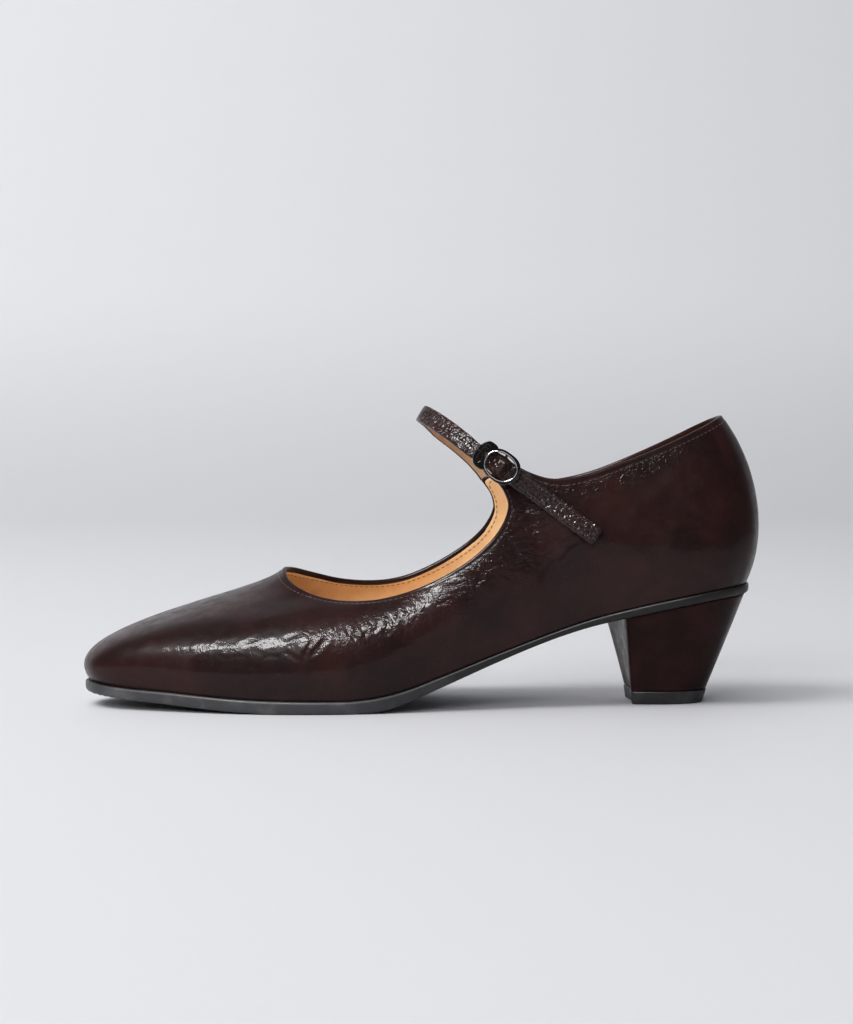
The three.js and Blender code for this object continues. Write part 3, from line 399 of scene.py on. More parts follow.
def tread_level(p, s):
    """Ribs run across the tread and end short of its edges and of the seat's middle."""
    inside = min(1.0, 14 * min(s, 1 - s)) * min(max((TREAD_END - p[0]) / TREAD_FADE, 0.0), 1.0)
    return float(bottom_at(p[0]) + TREAD_DEPTH * tread_rib(p[0]) * inside)


def sole_shell(rings, first_level, last_level):
    """A layer of the sole, closed across its first ring and, in finer steps, its last."""
    size = len(rings[0])
    points = [p for ring in rings for p in ring]
    faces = ring_faces(len(rings), size)
    faces += across_faces(points, 0, size, first_level, 2, False)
    faces += across_faces(points, (len(rings) - 1) * size, size, last_level, LAST_ACROSS, True)
    return points, faces


rings = [foot_ring(1, reach, edge_level(share)) for share, reach in SOLE_EDGE]
points, faces = sole_shell(rings, lambda p, s: float(rise_at(p[0])), tread_level)
sole_rubber = rubber_finish("sole_rubber", SOLE_BLACK, WAIST_PAINTED_SHADE)
outsole = placed_mesh("outsole_unit", points, faces, [sole_rubber])
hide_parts("outsole")
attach(outsole, "root")


# Heel. A low tapering block, hollowed a little at its breast, covered in the leather of
# the upper and fixed under the seat of the sole. Its top and foot are each given by the
# places of breast and back and by the half width.
HEEL_TOP = (69.6, 117.8, 24.0)
HEEL_FOOT = (74.6, 103.8, 14.2)
LIFT_THICK = 4.7
BREAST_HOLLOW = 1.4
BREAST_SKEW = 2.2
HEEL_FLARE = 0.18
HEEL_EDGE = 0.35
HEEL_POINTS = 240
HEEL_ROWS = 46
OXBLOOD = (0.034, 0.0105, 0.0095)
OXBLOOD_DARK = (0.0125, 0.0052, 0.0050)
OXBLOOD_LIGHT = (0.0255, 0.0088, 0.0079)
OXBLOOD_FLECK = (0.052, 0.018, 0.015)
# Laid on sharp convex edges and the folded rim: rubbed wear with a painted edge highlight.
OXBLOOD_WORN_HIGHLIGHT = (0.085, 0.036, 0.029)
# Half of its level outline: turn, share of the length, share of the half width.
HEEL_OUTLINE = (
    (0, 0, 0), (0.12, 0, 0.42), (0.22, 0, 0.76), (0.28, 0.025, 0.9), (0.34, 0.1, 0.965),
    (0.43, 0.27, 1), (0.53, 0.47, 0.99), (0.63, 0.66, 0.925), (0.73, 0.81, 0.79),
    (0.83, 0.92, 0.58), (0.92, 0.98, 0.31), (1, 1, 0),
)
heel_round = both_sides(HEEL_OUTLINE, HEEL_OUTLINE, 2)


def heel_ring(share, grow):
    """Level outline of the heel at a share of its height, from the lift to the seat."""
    front, back = (HEEL_FOOT[k] + (HEEL_TOP[k] - HEEL_FOOT[k]) * share for k in (0, 1))
    spread = (1 - HEEL_FLARE) * share + HEEL_FLARE * share * share
    half = HEEL_FOOT[2] + (HEEL_TOP[2] - HEEL_FOOT[2]) * spread + grow
    r = heel_round(1 - 2 * np.arange(HEEL_POINTS) / HEEL_POINTS)
    along, wide = r[:, 0], r[:, 1]
    breast = np.maximum(0, 1 - 6 * along)
    hollow = BREAST_HOLLOW * np.maximum(0, 1 - wide**2) * breast
    x = front - grow + along * (back - front + 2 * grow) + hollow
    x = x - BREAST_SKEW * max(share, 0) * wide * breast
    return np.column_stack((x, wide * half))


def hub_faces(points, start, size, turned):
    """Closes a ring inwards in three steps to a point in its middle."""
    ring = np.array(points[start:start + size])
    hub = ring.mean(axis=0)
    faces, base = [], start
    for share in (0.35, 0.7):
        new = len(points)
        points.extend(ring + (hub - ring) * share)
        faces += [(base + j, new + j, new + (j + 1) % size, base + (j + 1) % size) for j in range(size)]
        base = new
    points.append(hub)
    faces += [(base + j, len(points) - 1, base + (j + 1) % size) for j in range(size)]
    return [face[::-1] for face in faces] if turned else faces


def oxblood_leather(name, coat=0.2, coat_ior=1.5, gloss=0.09, creasing=None):
    """Glazed, very dark red-brown leather with a fine grain and a high, wavy shine.

    Creasing gives the relief that one piece has above the grain.
    """
    leather = Finish(name, OXBLOOD, 0.36, Coat_Weight=coat, Coat_Roughness=0.08, Coat_IOR=coat_ior,
                     Specular_IOR_Level=gloss)
    cloudy = leather.band(leather.cloud(48, 4, 0.6, 0.4), 0.32, 0.7)
    base = leather.blend(cloudy, OXBLOOD_DARK, OXBLOOD_LIGHT)
    fleck = leather.band(leather.cloud(1100, 2, 0.5), 0.60, 0.74)
    base = leather.blend(leather.worked("MULTIPLY", fleck, 0.3), base, OXBLOOD_FLECK)
    # Sharp convex edges, the folded topline rim among them, are lightened: rubbed wear and a painted edge
    # highlight.
    worn_and_highlight = leather.band(leather.pointed(), 0.53, 0.60, 0.0, 0.5)
    leather.colour(leather.blend(worn_and_highlight, base, OXBLOOD_WORN_HIGHLIGHT))
    leather.roughness(leather.cloud(180, 4, 0.65), 0.3, 0.72, 0.28, 0.46)
    above = creasing(leather) if creasing else ()
    leather.relief(*above, (leather.cloud(700, 3, 0.6), 0.05, 0.2), (leather.cells(1700), 0.018, 0.22))
    return leather.material


def capped_rings(rings):
    """A shell of even rings, closed at both ends."""
    size = len(rings[0])
    points = [p for ring in rings for p in ring]
    faces = ring_faces(len(rings), size)
    faces += hub_faces(points, 0, size, False)
    faces += hub_faces(points, (len(rings) - 1) * size, size, True)
    return points, faces


rings = []
lift_top = LIFT_THICK + SEAM
for share in np.concatenate(([0.0], np.linspace(0.002, 0.998, HEEL_ROWS), [1.0])):
    edge = -HEEL_EDGE if share in (0.0, 1.0) else 0.0
    ring = heel_ring(share, edge)
    top = bottom_at(ring[:, 0]) - SEAM
    rings.append(np.column_stack((ring, lift_top + (top - lift_top) * share)))
heel_leather = oxblood_leather("heel_leather", coat=0.14, coat_ior=1.25, gloss=0.05)
heel = placed_mesh("heel_cover", *capped_rings(rings), [heel_leather])
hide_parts("heel")
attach(heel, "root")


# Top lift. A rubber cap nailed under the heel, a hair larger than it, with a chamfered
# edge where it meets the floor. Its rows give the height, the share of the heel's taper
# below its foot, and how far they stand out.
LIFT_ROWS = (
    (0.0, -0.10, -0.35), (0.12, -0.10, 0.0), (0.35, -0.095, 0.12), (2.3, -0.05, 0.16),
    (4.3, -0.005, 0.2), (4.6, 0.0, 0.14), (4.7, 0.0, -0.05),
)
LIFT_BLACK = (0.012, 0.012, 0.013)
rings = [np.column_stack((heel_ring(share, grow), np.full(HEEL_POINTS, level)))
         for level, share, grow in LIFT_ROWS]
lift_rubber = rubber_finish("lift_rubber", LIFT_BLACK)
top_lift = placed_mesh("top_lift_cap", *capped_rings(rings), [lift_rubber])
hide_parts("top_lift")
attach(top_lift, "root")


# Insole. A tan leather sock glued over the insole board, lying inside the foot of the
# upper, soft at its edge.
WALL_FOOT = 2.2
SOCK_THICK = 2.4
SOCK_EDGE_AT = -(WALL_FOOT + SEAM + 0.1)
SOCK_SAG = 0.35
SOCK_TAN = (0.80, 0.52, 0.30)
SOCK_BROWN = (0.66, 0.40, 0.21)
# The rounded edge: how far in from its widest line, and how far below the top.
SOCK_EDGE = ((0, 1.0), (0.06, 0.62), (0.3, 0.26), (0.7, 0.06), (1.3, 0.0))


def sock_level(drop):
    return lambda x: rise_at(x) + SEAM + SOCK_THICK - drop


def sock_sag(p, s):
    return float(sock_level(SOCK_SAG * math.sin(math.pi * s))(p[0]))


rings = [foot_ring(0, SOCK_EDGE_AT, sock_level(SOCK_THICK))]
rings += [foot_ring(0, SOCK_EDGE_AT - inward, sock_level(drop)) for inward, drop in SOCK_EDGE]
points, faces = sole_shell(rings, lambda p, s: float(rise_at(p[0])) + SEAM, sock_sag)


def tan_leather(name, colour, dark):
    """Plain vegetable-tanned lining leather, matt, with pores and a soft grain."""
    lining = Finish(name, colour, 0.55, Sheen_Weight=0.15, Sheen_Roughness=0.5)
    patch = lining.band(lining.cloud(70, 4, 0.6), 0.35, 0.7)
    base = lining.blend(patch, dark, colour)
    pore = lining.band(lining.cells(1300), 0.05, 0.32, 0.55, 1.0)
    lining.colour(lining.blend(pore, dark, base))
    lining.roughness(lining.cloud(300, 3), 0.35, 0.7, 0.48, 0.64)
    lining.relief((lining.cells(1300), 0.04, 0.3), (lining.cloud(260, 3), 0.12, 0.25))
    return lining.material


sock_leather = tan_leather("sock_leather", SOCK_TAN, SOCK_BROWN)
insole = placed_mesh("sock_lining", points, faces, [sock_leather])
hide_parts("insole")
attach(insole, "root")


# Upper. One piece of glazed leather, lasted over the foot and folded in along the
# topline, creased across the vamp and crinkled beside the throat, with a tan leather
# lining cemented inside it.
WALL = 1.8
LEATHER = 0.95
RIM = 0.9
RIM_GROOVE = 0.11
CREASE_SHARE = 0.55
LATERAL_STATIONS = 430
MEDIAL_STATIONS = 260
OUTER_ROWS = 118
BACK_ROWS = 10

# The topline on each side: turn, length, half width and height, as shares.
LATERAL_TOP = (
    (0, 0.2947, 0, 0.4676), (0.03, 0.2963, 0.05, 0.4552), (0.06, 0.3012, 0.1, 0.439),
    (0.09, 0.3093, 0.1462, 0.4238), (0.12, 0.3207, 0.1885, 0.4095), (0.16, 0.339, 0.2359, 0.3924),
    (0.2, 0.3593, 0.2744, 0.381), (0.24, 0.3813, 0.2987, 0.3748), (0.28, 0.4073, 0.3192, 0.3752),
    (0.32, 0.435, 0.3346, 0.3829), (0.36, 0.4659, 0.3513, 0.4019), (0.4, 0.4976, 0.3654, 0.4295),
    (0.44, 0.5293, 0.3744, 0.4657), (0.48, 0.5585, 0.3795, 0.5076), (0.52, 0.5829, 0.3756, 0.5533),
    (0.56, 0.6024, 0.3654, 0.6029), (0.59, 0.6146, 0.3551, 0.6524), (0.62, 0.6191, 0.3462, 0.7105),
    (0.64, 0.6122, 0.3372, 0.7505), (0.66, 0.6008, 0.3282, 0.7876), (0.68, 0.5951, 0.3231, 0.8229),
    (0.7, 0.6069, 0.3244, 0.8467), (0.72, 0.6268, 0.3295, 0.8352), (0.745, 0.6516, 0.3346, 0.8076),
    (0.77, 0.6764, 0.3397, 0.7895), (0.8, 0.7049, 0.3372, 0.7895), (0.83, 0.7374, 0.3269, 0.8038),
    (0.86, 0.7724, 0.3103, 0.8305), (0.89, 0.811, 0.2821, 0.8629), (0.92, 0.852, 0.2436, 0.901),
    (0.945, 0.8858, 0.1974, 0.9352), (0.965, 0.9118, 0.1487, 0.9629), (0.985, 0.9337, 0.0846, 0.9886),
    (1, 0.9431, 0, 0.999),
)
MEDIAL_TOP = (
    (0.03, 0.2967, 0.0487, 0.4733), (0.06, 0.3028, 0.0949, 0.4714), (0.09, 0.313, 0.1385, 0.4657),
    (0.12, 0.3268, 0.1756, 0.4552), (0.16, 0.348, 0.2154, 0.44), (0.2, 0.374, 0.2423, 0.4238),
    (0.24, 0.3984, 0.2731, 0.4143), (0.28, 0.4228, 0.2949, 0.4105), (0.32, 0.4496, 0.3141, 0.4133),
    (0.36, 0.4789, 0.3282, 0.4276), (0.4, 0.5089, 0.341, 0.4552), (0.44, 0.5374, 0.3513, 0.4895),
    (0.48, 0.563, 0.3577, 0.5267), (0.52, 0.5841, 0.359, 0.5657), (0.56, 0.5996, 0.3564, 0.6057),
    (0.59, 0.6089, 0.35, 0.6438), (0.62, 0.6118, 0.3449, 0.6829), (0.64, 0.6069, 0.3397, 0.7181),
    (0.66, 0.5972, 0.3346, 0.7505), (0.675, 0.5931, 0.3321, 0.7648), (0.7, 0.6089, 0.3282, 0.7857),
    (0.725, 0.626, 0.3256, 0.8019), (0.745, 0.6443, 0.3308, 0.7867), (0.77, 0.6667, 0.3372, 0.7676),
    (0.8, 0.6972, 0.3397, 0.7638), (0.83, 0.7358, 0.3333, 0.779), (0.86, 0.774, 0.3192, 0.8067),
    (0.89, 0.8171, 0.291, 0.8495), (0.92, 0.8561, 0.2436, 0.8933), (0.945, 0.8878, 0.1987, 0.9314),
    (0.965, 0.9126, 0.15, 0.9629), (0.985, 0.9341, 0.0846, 0.9886),
)
# How full the upper stands between sole and topline: the foot's handle out and up, the
# topline's handle out, down and back, and the level direction it aims in, in degrees.
LATERAL_SWELL = (
    (0, 0.2, 0.1943, 0.0987, 0.111, 0, 0), (0.06, 0.1795, 0.1924, 0.1154, 0.0971, 0, 8),
    (0.12, 0.1282, 0.1857, 0.1603, 0.0781, 0, 22), (0.18, 0.0833, 0.1762, 0.1987, 0.0619, 0, 38),
    (0.25, 0.0641, 0.1571, 0.1923, 0.0571, 0, 55), (0.32, 0.0551, 0.1381, 0.1538, 0.0667, 0, 70),
    (0.4, 0.0462, 0.119, 0.1026, 0.0933, 0.0061, 80), (0.48, 0.041, 0.1143, 0.0513, 0.1048, 0.0163, 85),
    (0.56, 0.041, 0.1238, 0.0256, 0.1038, 0.0248, 89), (0.62, 0.0436, 0.1333, 0.0128, 0.099, 0.0329, 90),
    (0.66, 0.0462, 0.1429, 0.009, 0.0562, 0.061, 90), (0.7, 0.0487, 0.1476, 0.0077, 0.0686, 0.061, 90),
    (0.74, 0.0538, 0.1524, 0.009, 0.1067, 0.0313, 92), (0.77, 0.0564, 0.1581, 0.0115, 0.1276, 0.0146, 94),
    (0.8, 0.0577, 0.1619, 0.0154, 0.1524, 0, 96), (0.86, 0.0641, 0.1714, 0.0385, 0.1524, 0, 104),
    (0.92, 0.0833, 0.1762, 0.0833, 0.1524, 0, 120), (0.96, 0.1026, 0.181, 0.1282, 0.1524, 0, 142),
    (1, 0.116, 0.1819, 0.1667, 0.1514, 0, 180),
)
MEDIAL_SWELL = (
    (0.06, 0.1859, 0.1952, 0.109, 0.0905, 0, 8), (0.12, 0.141, 0.1905, 0.1538, 0.0667, 0, 22),
    (0.18, 0.1026, 0.1857, 0.1923, 0.0476, 0, 38), (0.25, 0.0833, 0.1762, 0.1923, 0.0429, 0, 55),
    (0.32, 0.0705, 0.1619, 0.1538, 0.0524, 0, 70), (0.4, 0.0577, 0.1429, 0.1026, 0.081, 0.0061, 80),
    (0.48, 0.0513, 0.1333, 0.0513, 0.1, 0.0163, 85), (0.56, 0.0513, 0.1333, 0.0256, 0.12, 0.0252, 89),
    (0.62, 0.0538, 0.1381, 0.0128, 0.1295, 0.0346, 90), (0.66, 0.0564, 0.1429, 0.009, 0.0695, 0.061, 90),
    (0.7, 0.059, 0.1476, 0.0077, 0.0495, 0.061, 90), (0.74, 0.0603, 0.1524, 0.009, 0.099, 0.0333, 92),
    (0.8, 0.0641, 0.1619, 0.0154, 0.1524, 0, 96), (0.86, 0.0705, 0.1714, 0.0385, 0.1524, 0, 104),
    (0.92, 0.0872, 0.1762, 0.0833, 0.1524, 0, 120), (0.96, 0.1026, 0.181, 0.1282, 0.1524, 0, 142),
)

top_round = both_sides(LATERAL_TOP, MEDIAL_TOP, 2)


def aimed(rows):
    """The swell's rows, with their direction as two shares in place of its degrees."""
    rows = np.array(rows, float)
    angle = np.radians(rows[:, 6])
    return np.column_stack((rows[:, :6], -np.cos(angle), np.sin(angle)))


swell_round = both_sides(aimed(LATERAL_SWELL), aimed(MEDIAL_SWELL), 7)


def skin_handles(turn):
    """The four handles of the line that runs up the upper's face at a turn."""
    foot, out, s, top = foot_point(turn), foot_outward(turn), swell_round(turn), top_round(turn)
    x, z = foot[..., 0], rise_at(foot[..., 0]) + SEAM
    p0 = np.stack((x, foot[..., 1], z), -1)
    p3 = np.stack((top[..., 0] * SHOE_LENGTH - HALF_LENGTH, top[..., 1] * BALL_WIDTH,
                   top[..., 2] * BACK_HEIGHT), -1)
    reach = s[..., 0:1] * BALL_WIDTH * out
    p1 = p0 + np.concatenate((reach, s[..., 1:2] * BACK_HEIGHT), -1)
    aim = unit(s[..., 5:7])
    p2 = p3 + np.stack((aim[..., 0] * s[..., 2] * BALL_WIDTH + s[..., 4] * SHOE_LENGTH,
                        aim[..., 1] * s[..., 2] * BALL_WIDTH, -s[..., 3] * BACK_HEIGHT), -1)
    return p0, p1, p2, p3


def skin(turn, t):
    """The upper's face at a turn, from the sole (0) up to the topline (1)."""
    p0, p1, p2, p3 = skin_handles(np.asarray(turn, float))
    t = np.asarray(t, float)[..., None]
    return (1 - t)**3 * p0 + 3 * t * (1 - t)**2 * p1 + 3 * t * t * (1 - t) * p2 + t**3 * p3


def evenly(side, count):
    """Turns on one side, spread evenly along the sole's edge and the topline, closer at
    both ends and, on the outer side, between the toe and the strap."""
    fine = np.linspace(0, 1, 2401)
    steps = np.linalg.norm(np.diff(skin(side * fine, 0 * fine), axis=0), axis=1)
    steps += 0.8 * np.linalg.norm(np.diff(skin(side * fine, 0 * fine + 1), axis=0), axis=1)
    at = fine[1:]
    steps *= np.where(at > 0.93, 1.6, 1.0) * np.where(at < 0.08, 1.3, 1.0)
    if side < 0:
        steps *= np.interp(at, (0, 0.1, 0.16, 0.7, 0.78, 1), (0.75, 0.9, 1.35, 1.35, 0.7, 0.6))
    sums = np.concatenate(([0], np.cumsum(steps)))
    return np.interp(np.linspace(0, sums[-1], count + 1), sums, fine)


def all_round(lateral, medial):
    return np.concatenate((-evenly(-1, lateral)[:0:-1], evenly(1, medial)[:-1]))


def run_along(line):
    """Lengths along lines of points, from nought at their first."""
    steps = np.linalg.norm(np.diff(line, axis=-2), axis=-1)
    return np.concatenate((0 * steps[..., :1], np.cumsum(steps, axis=-1)), -1)


def rows_up(turns, fractions, short):
    """Points up each line at even lengths, stopping short of its top by a length."""
    fine = np.linspace(0, 1, 401)
    run = run_along(skin(turns[:, None], fine[None, :]))
    t = np.array([np.interp(fractions * (r[-1] - short), r, fine) for r in run])
    return skin(turns[:, None], t), run[:, -1]


def outward_of(grid):
    """Unit directions off a closed grid's face, and its rise, from row to row."""
    along = np.roll(grid, -1, axis=0) - np.roll(grid, 1, axis=0)
    rise = np.gradient(grid, axis=1)
    return unit(-np.cross(along, rise)), rise


def under_edge(turns, inward):
    """The foot of a layer of the upper, on the sole, moved in from its edge."""
    foot = foot_point(turns)
    return np.column_stack((foot - foot_outward(turns) * inward, rise_at(foot[:, 0]) + SEAM))


upper_turns = all_round(LATERAL_STATIONS, MEDIAL_STATIONS)
share_up = np.linspace(0, 1, OUTER_ROWS)
outer, lengths = rows_up(upper_turns, share_up, RIM)
outward, rise = outward_of(outer)
upward = unit(rise)
from_top = (1 - share_up) * (lengths[:, None] - RIM)
from_foot = share_up * (lengths[:, None] - RIM)

# Main creases on the outer side: width, depth, then the points they run through, each as
# a length from the middle of the shoe and a height. CREASE_SHARE of the depth is used.
OUTER_CREASES = (
    (1.0, 0.07, -87.1, 20.8, -82.6, 21.9, -80.6, 22.9, -76.7, 24.6),
    (1.0, 0.08, -76.1, 23.0, -73.6, 24.5, -70.6, 25.1, -66.0, 25.1),
    (0.9, 0.13, -65.9, 24.2, -63.6, 25.1, -59.7, 27.1), (1.0, 0.11, -59.2, 24.2, -54.8, 25.5, -52.3, 25.8),
    (0.9, 0.2, -50.8, 26.3, -47.4, 27.4, -44.9, 28.6), (0.9, 0.22, -40.2, 26.3, -41.8, 23.5, -43.5, 21.1),
    (1.1, 0.34, -35.0, 28.7, -36.0, 26.1, -37.9, 24.2, -39.8, 22.3, -43.5, 19.9),
    (0.9, 0.24, -50.3, 22.5, -47.3, 20.6, -44.4, 18.9), (0.8, 0.09, -61.3, 23.0, -59.3, 22.1, -57.7, 20.9),
    (0.8, 0.06, -80.7, 19.5, -78.1, 20.4, -76.1, 19.1),
    (0.8, 0.07, -73.6, 20.5, -70.5, 19.6, -67.2, 20.6, -64.6, 20.0, -61.8, 21.1),
    (0.8, 0.1, -58.2, 19.7, -55.8, 20.6, -51.8, 20.7),
    (0.9, 0.26, -29.0, 30.4, -27.2, 28.4, -25.7, 26.9, -23.9, 24.9),
    (0.9, 0.24, -24.3, 30.0, -25.2, 28.0, -26.1, 26.3), (0.8, 0.24, -23.8, 31.4, -22.5, 29.3, -21.4, 27.6),
    (0.8, 0.18, -20.6, 30.1, -21.6, 28.4, -21.9, 26.7), (0.8, 0.2, -17.3, 32.1, -18.3, 30.1, -19.8, 29.0),
    (0.8, 0.22, -15.2, 35.7, -12.8, 33.8, -11.4, 32.5, -13.1, 31.0),
    (0.8, 0.2, -15.0, 34.0, -13.7, 32.1, -14.9, 28.8), (0.8, 0.18, -40.0, 26.6, -41.9, 23.9, -43.6, 20.6),
    (0.8, 0.16, -33.8, 28.2, -31.9, 29.7, -30.2, 30.9), (0.8, 0.16, -19.4, 28.4, -17.5, 29.7, -16.7, 31.4),
    (0.9, 0.18, -12.2, 30.5, -13.5, 28.8, -15.4, 28.4), (0.9, 0.18, -9.8, 34.9, -8.0, 33.5, -9.0, 31.8),
    (0.9, 0.18, -7.6, 36.6, -5.8, 35.4, -6.7, 33.6), (0.8, 0.16, -10.2, 37.0, -9.4, 35.3, -10.3, 33.1),
    (0.8, 0.16, -4.3, 39.2, -3.0, 37.5, -3.5, 35.8), (0.8, 0.16, -1.6, 41.4, 0.3, 40.1, -0.3, 38.4),
    (0.9, 0.2, 6.7, 44.1, 10.4, 44.9, 15.3, 45.8), (0.9, 0.18, 2.7, 38.5, 6.0, 38.9, 10.4, 40.9),
    (0.9, 0.18, 9.4, 42.4, 12.5, 43.0, 15.4, 43.7),
    (0.9, 0.24, 12.5, 39.5, 16.9, 43.0, 19.2, 46.2, 20.2, 49.4),
    (0.9, 0.24, 14.7, 44.1, 17.5, 46.2, 20.0, 49.2, 23.0, 50.5),
    (0.8, 0.18, 18.0, 43.0, 17.5, 45.1, 19.1, 47.3),
    (0.8, 0.2, 30.3, 65.6, 32.5, 68.2, 35.2, 71.0, 37.5, 72.5),
    (0.8, 0.22, 30.8, 64.2, 36.3, 68.2, 39.6, 70.4),
    (0.8, 0.22, 29.7, 62.1, 34.7, 64.9, 39.1, 67.7, 42.9, 69.8),
    (0.8, 0.22, 29.1, 59.9, 35.2, 62.2, 40.2, 64.8, 43.9, 68.2),
    (0.8, 0.2, 24.7, 57.7, 29.1, 58.5, 34.6, 60.6, 39.2, 62.7),
    (0.8, 0.18, 23.6, 55.3, 26.9, 56.9, 32.4, 58.0, 36.9, 59.7),
    (0.8, 0.16, 29.4, 53.1, 29.8, 50.4, 28.8, 47.7),
    (0.8, 0.18, 21.9, 48.3, 26.3, 49.1, 28.5, 48.3, 30.4, 46.5),
    (1.0, 0.16, 54.3, 60.6, 50.0, 58.3, 47.8, 55.1, 45.7, 51.3),
    (1.0, 0.16, 47.3, 56.2, 44.0, 53.4, 41.8, 50.2, 40.8, 46.9),
    (0.8, 0.16, 31.3, 55.2, 34.6, 56.8, 38.0, 56.7, 41.2, 55.7),
    (0.8, 0.16, 32.4, 53.1, 35.1, 54.1, 36.8, 53.0, 38.0, 51.3),
    (0.7, 0.16, 30.6, 71.0, 31.0, 69.4, 30.0, 66.9), (0.8, 0.14, 43.9, 78.7, 47.6, 79.2, 49.7, 80.8),
    (0.8, 0.14, 48.6, 77.2, 51.3, 79.2, 53.4, 79.3), (0.9, 0.14, 53.2, 74.5, 57.5, 76.6, 61.8, 76.6),
    (0.9, 0.12, 62.3, 75.0, 63.8, 74.0, 65.9, 74.5), (0.9, 0.12, 53.3, 60.4, 50.1, 57.4, 48.1, 54.2),
)
# The same on the inner side, which bends at the same places.
INNER_CREASES = (
    (1.1, 0.26, -36, 30, -38, 25, -42, 20), (1.0, 0.22, -29, 33, -27, 29, -25, 25),
    (1.0, 0.22, -19, 33, -20, 29, -22, 25), (1.0, 0.2, -9, 36, -10, 32, -13, 28),
    (1.0, 0.2, 2, 42, 1, 38, -2, 34), (1.0, 0.2, 11, 47, 9, 43, 5, 39), (1.0, 0.22, 20, 55, 19, 49, 14, 44),
    (1.0, 0.2, 27, 62, 26, 55, 22, 49), (1.0, 0.2, 31, 68, 36, 64, 38, 58),
    (1.2, 0.18, 53, 62, 49, 57, 45, 50),
)


def on_side(grid, side):
    """How far points are on one side of the shoe: 0 to 1 over a few millimetres."""
    return 1 / (1 + np.exp(-side * grid[..., 1] / 2.0))


def crease_depth(grid, creases, side):
    """Depth of soft troughs with raised banks, drawn on one side of the upper."""
    depth = np.zeros(grid.shape[:2])
    flat = grid[..., (0, 2)]
    near = on_side(grid, side)
    for width, deep, *path in creases:
        path = np.array(path, float).reshape(-1, 2)
        low, high = path.min(axis=0) - 5 * width, path.max(axis=0) + 5 * width
        inside = np.all((flat > low) & (flat < high), axis=-1) & (near > 0.02)
        spots = flat[inside]
        best, share, run = np.full(len(spots), 1e9), np.zeros(len(spots)), 0.0
        total = np.linalg.norm(np.diff(path, axis=0), axis=1).sum()
        for a, b in zip(path, path[1:]):
            step = b - a
            long = np.linalg.norm(step)
            s = np.clip(((spots - a) @ step) / long**2, 0, 1)
            far = np.linalg.norm(spots - (a + s[:, None] * step), axis=1)
            closer = far < best
            best = np.where(closer, far, best)
            share = np.where(closer, (run + s * long) / total, share)
            run += long
        fade = np.clip(3.5 * np.minimum(share, 1 - share) + 0.2, 0, 1)
        u = best / width
        bank = 0.55 * np.exp(-(u - 1.7)**2 / 0.7)
        depth[inside] += CREASE_SHARE * deep * fade * near[inside] * (np.exp(-u * u) - bank)
    return depth


def waves(grid, size, seed, stretch=(1, 1, 1)):
    """Soft uneven swells over a grid of points, from -1 to 1."""
    spots = grid * np.array(stretch) / size + seed
    swells = [noise.noise(p) for p in spots.reshape(-1, 3).tolist()]
    return np.array(swells).reshape(grid.shape[:-1])


def around(grid, places):
    """How far each point lies in a field: places are x, z, reach along and across, lean."""
    field = np.zeros(grid.shape[:2])
    for x, z, long, wide, lean in places:
        a = math.radians(lean)
        dx, dz = grid[..., 0] - x, grid[..., 2] - z
        u = (dx * math.cos(a) + dz * math.sin(a)) / long
        v = (-dx * math.sin(a) + dz * math.cos(a)) / wide
        field = np.maximum(field, np.exp(-(u * u + v * v)**1.5))
    return field


# Crinkles: short arcs that cross the flexing line of the vamp, folds that fan out from
# the throat under the strap, and fine pits along the topline behind it.
arcs = around(outer, ((-30, 27, 20, 6, 8), (-14, 32, 26, 8, 24), (10, 45, 24, 9, 40)))
arcs = np.maximum(arcs, 0.35 * around(outer, ((-66, 23, 30, 5, 2),)))
fans = around(outer, ((30, 60, 15, 12, 35), (36, 68, 13, 8, 35), (18, 50, 16, 8, 40)))
pits = around(outer, ((50, 80, 16, 6, 8), (74, 86, 26, 5, 22)))
arcs = arcs * (0.35 + 0.65 * on_side(outer, -1))
fans = fans * (0.45 + 0.55 * on_side(outer, -1))

# The face is the plain one with soft swells, crinkles and creases, and a shallow groove
# below the fold. The crinkles lean up towards the heel.
CRINKLE_LEAN = math.radians(38)
depth = crease_depth(outer, OUTER_CREASES, -1) + crease_depth(outer, INNER_CREASES, 1)
hide = 0.10 * waves(outer, 16, 3.1) + 0.05 * waves(outer, 5.0, 8.7)
lean_x, lean_z = math.cos(CRINKLE_LEAN), math.sin(CRINKLE_LEAN)
leaned = np.stack((outer[..., 0] * lean_x + outer[..., 2] * lean_z, outer[..., 1],
                   -outer[..., 0] * lean_z + outer[..., 2] * lean_x), -1)
ripple = 0.5 - np.abs(waves(leaned, 2.6, 1.7, (0.34, 0.6, 1)))
crackle = 0.5 - np.abs(waves(leaned, 2.4, 5.2, (1.0, 0.6, 0.45)))
hide += 0.11 * fans * ripple + 0.07 * arcs * crackle
held = np.clip(from_top / 2.5, 0, 1) * np.clip(from_foot / 4, 0, 1)
groove = RIM_GROOVE * np.exp(-((from_top - 0.9) / 0.5)**2)
face = outer + outward * ((hide - depth) * held - groove)[..., None]

# The leather is folded over at the topline in a half round. Behind it lies its own
# flesh side, down to the sole.
rim_mid = face[:, -1] - outward[:, -1] * RIM
rim_rows = [rim_mid + RIM * (math.cos(a) * outward[:, -1] + math.sin(a) * upward[:, -1])
            for a in np.linspace(0, math.pi, 10)[1:-1]]
inside_edge = [rim_mid - inward * outward[:, -1] - upward[:, -1] * down
               for inward, down in ((RIM, 0.35), (RIM, 0.8), (RIM - 0.3, 1.05))]
flesh, _ = rows_up(upper_turns, np.linspace(0, 1, BACK_ROWS), RIM + 1.6)
flesh_out, _ = outward_of(flesh)
flesh = (flesh - flesh_out * LEATHER)[:, ::-1]
rings = [face[:, i] for i in range(OUTER_ROWS)] + rim_rows + inside_edge
rings += [flesh[:, i] for i in range(BACK_ROWS - 1)] + [under_edge(upper_turns, LEATHER + 0.2)]
count = len(upper_turns)
faces = ring_faces(len(rings), count, closed=True)


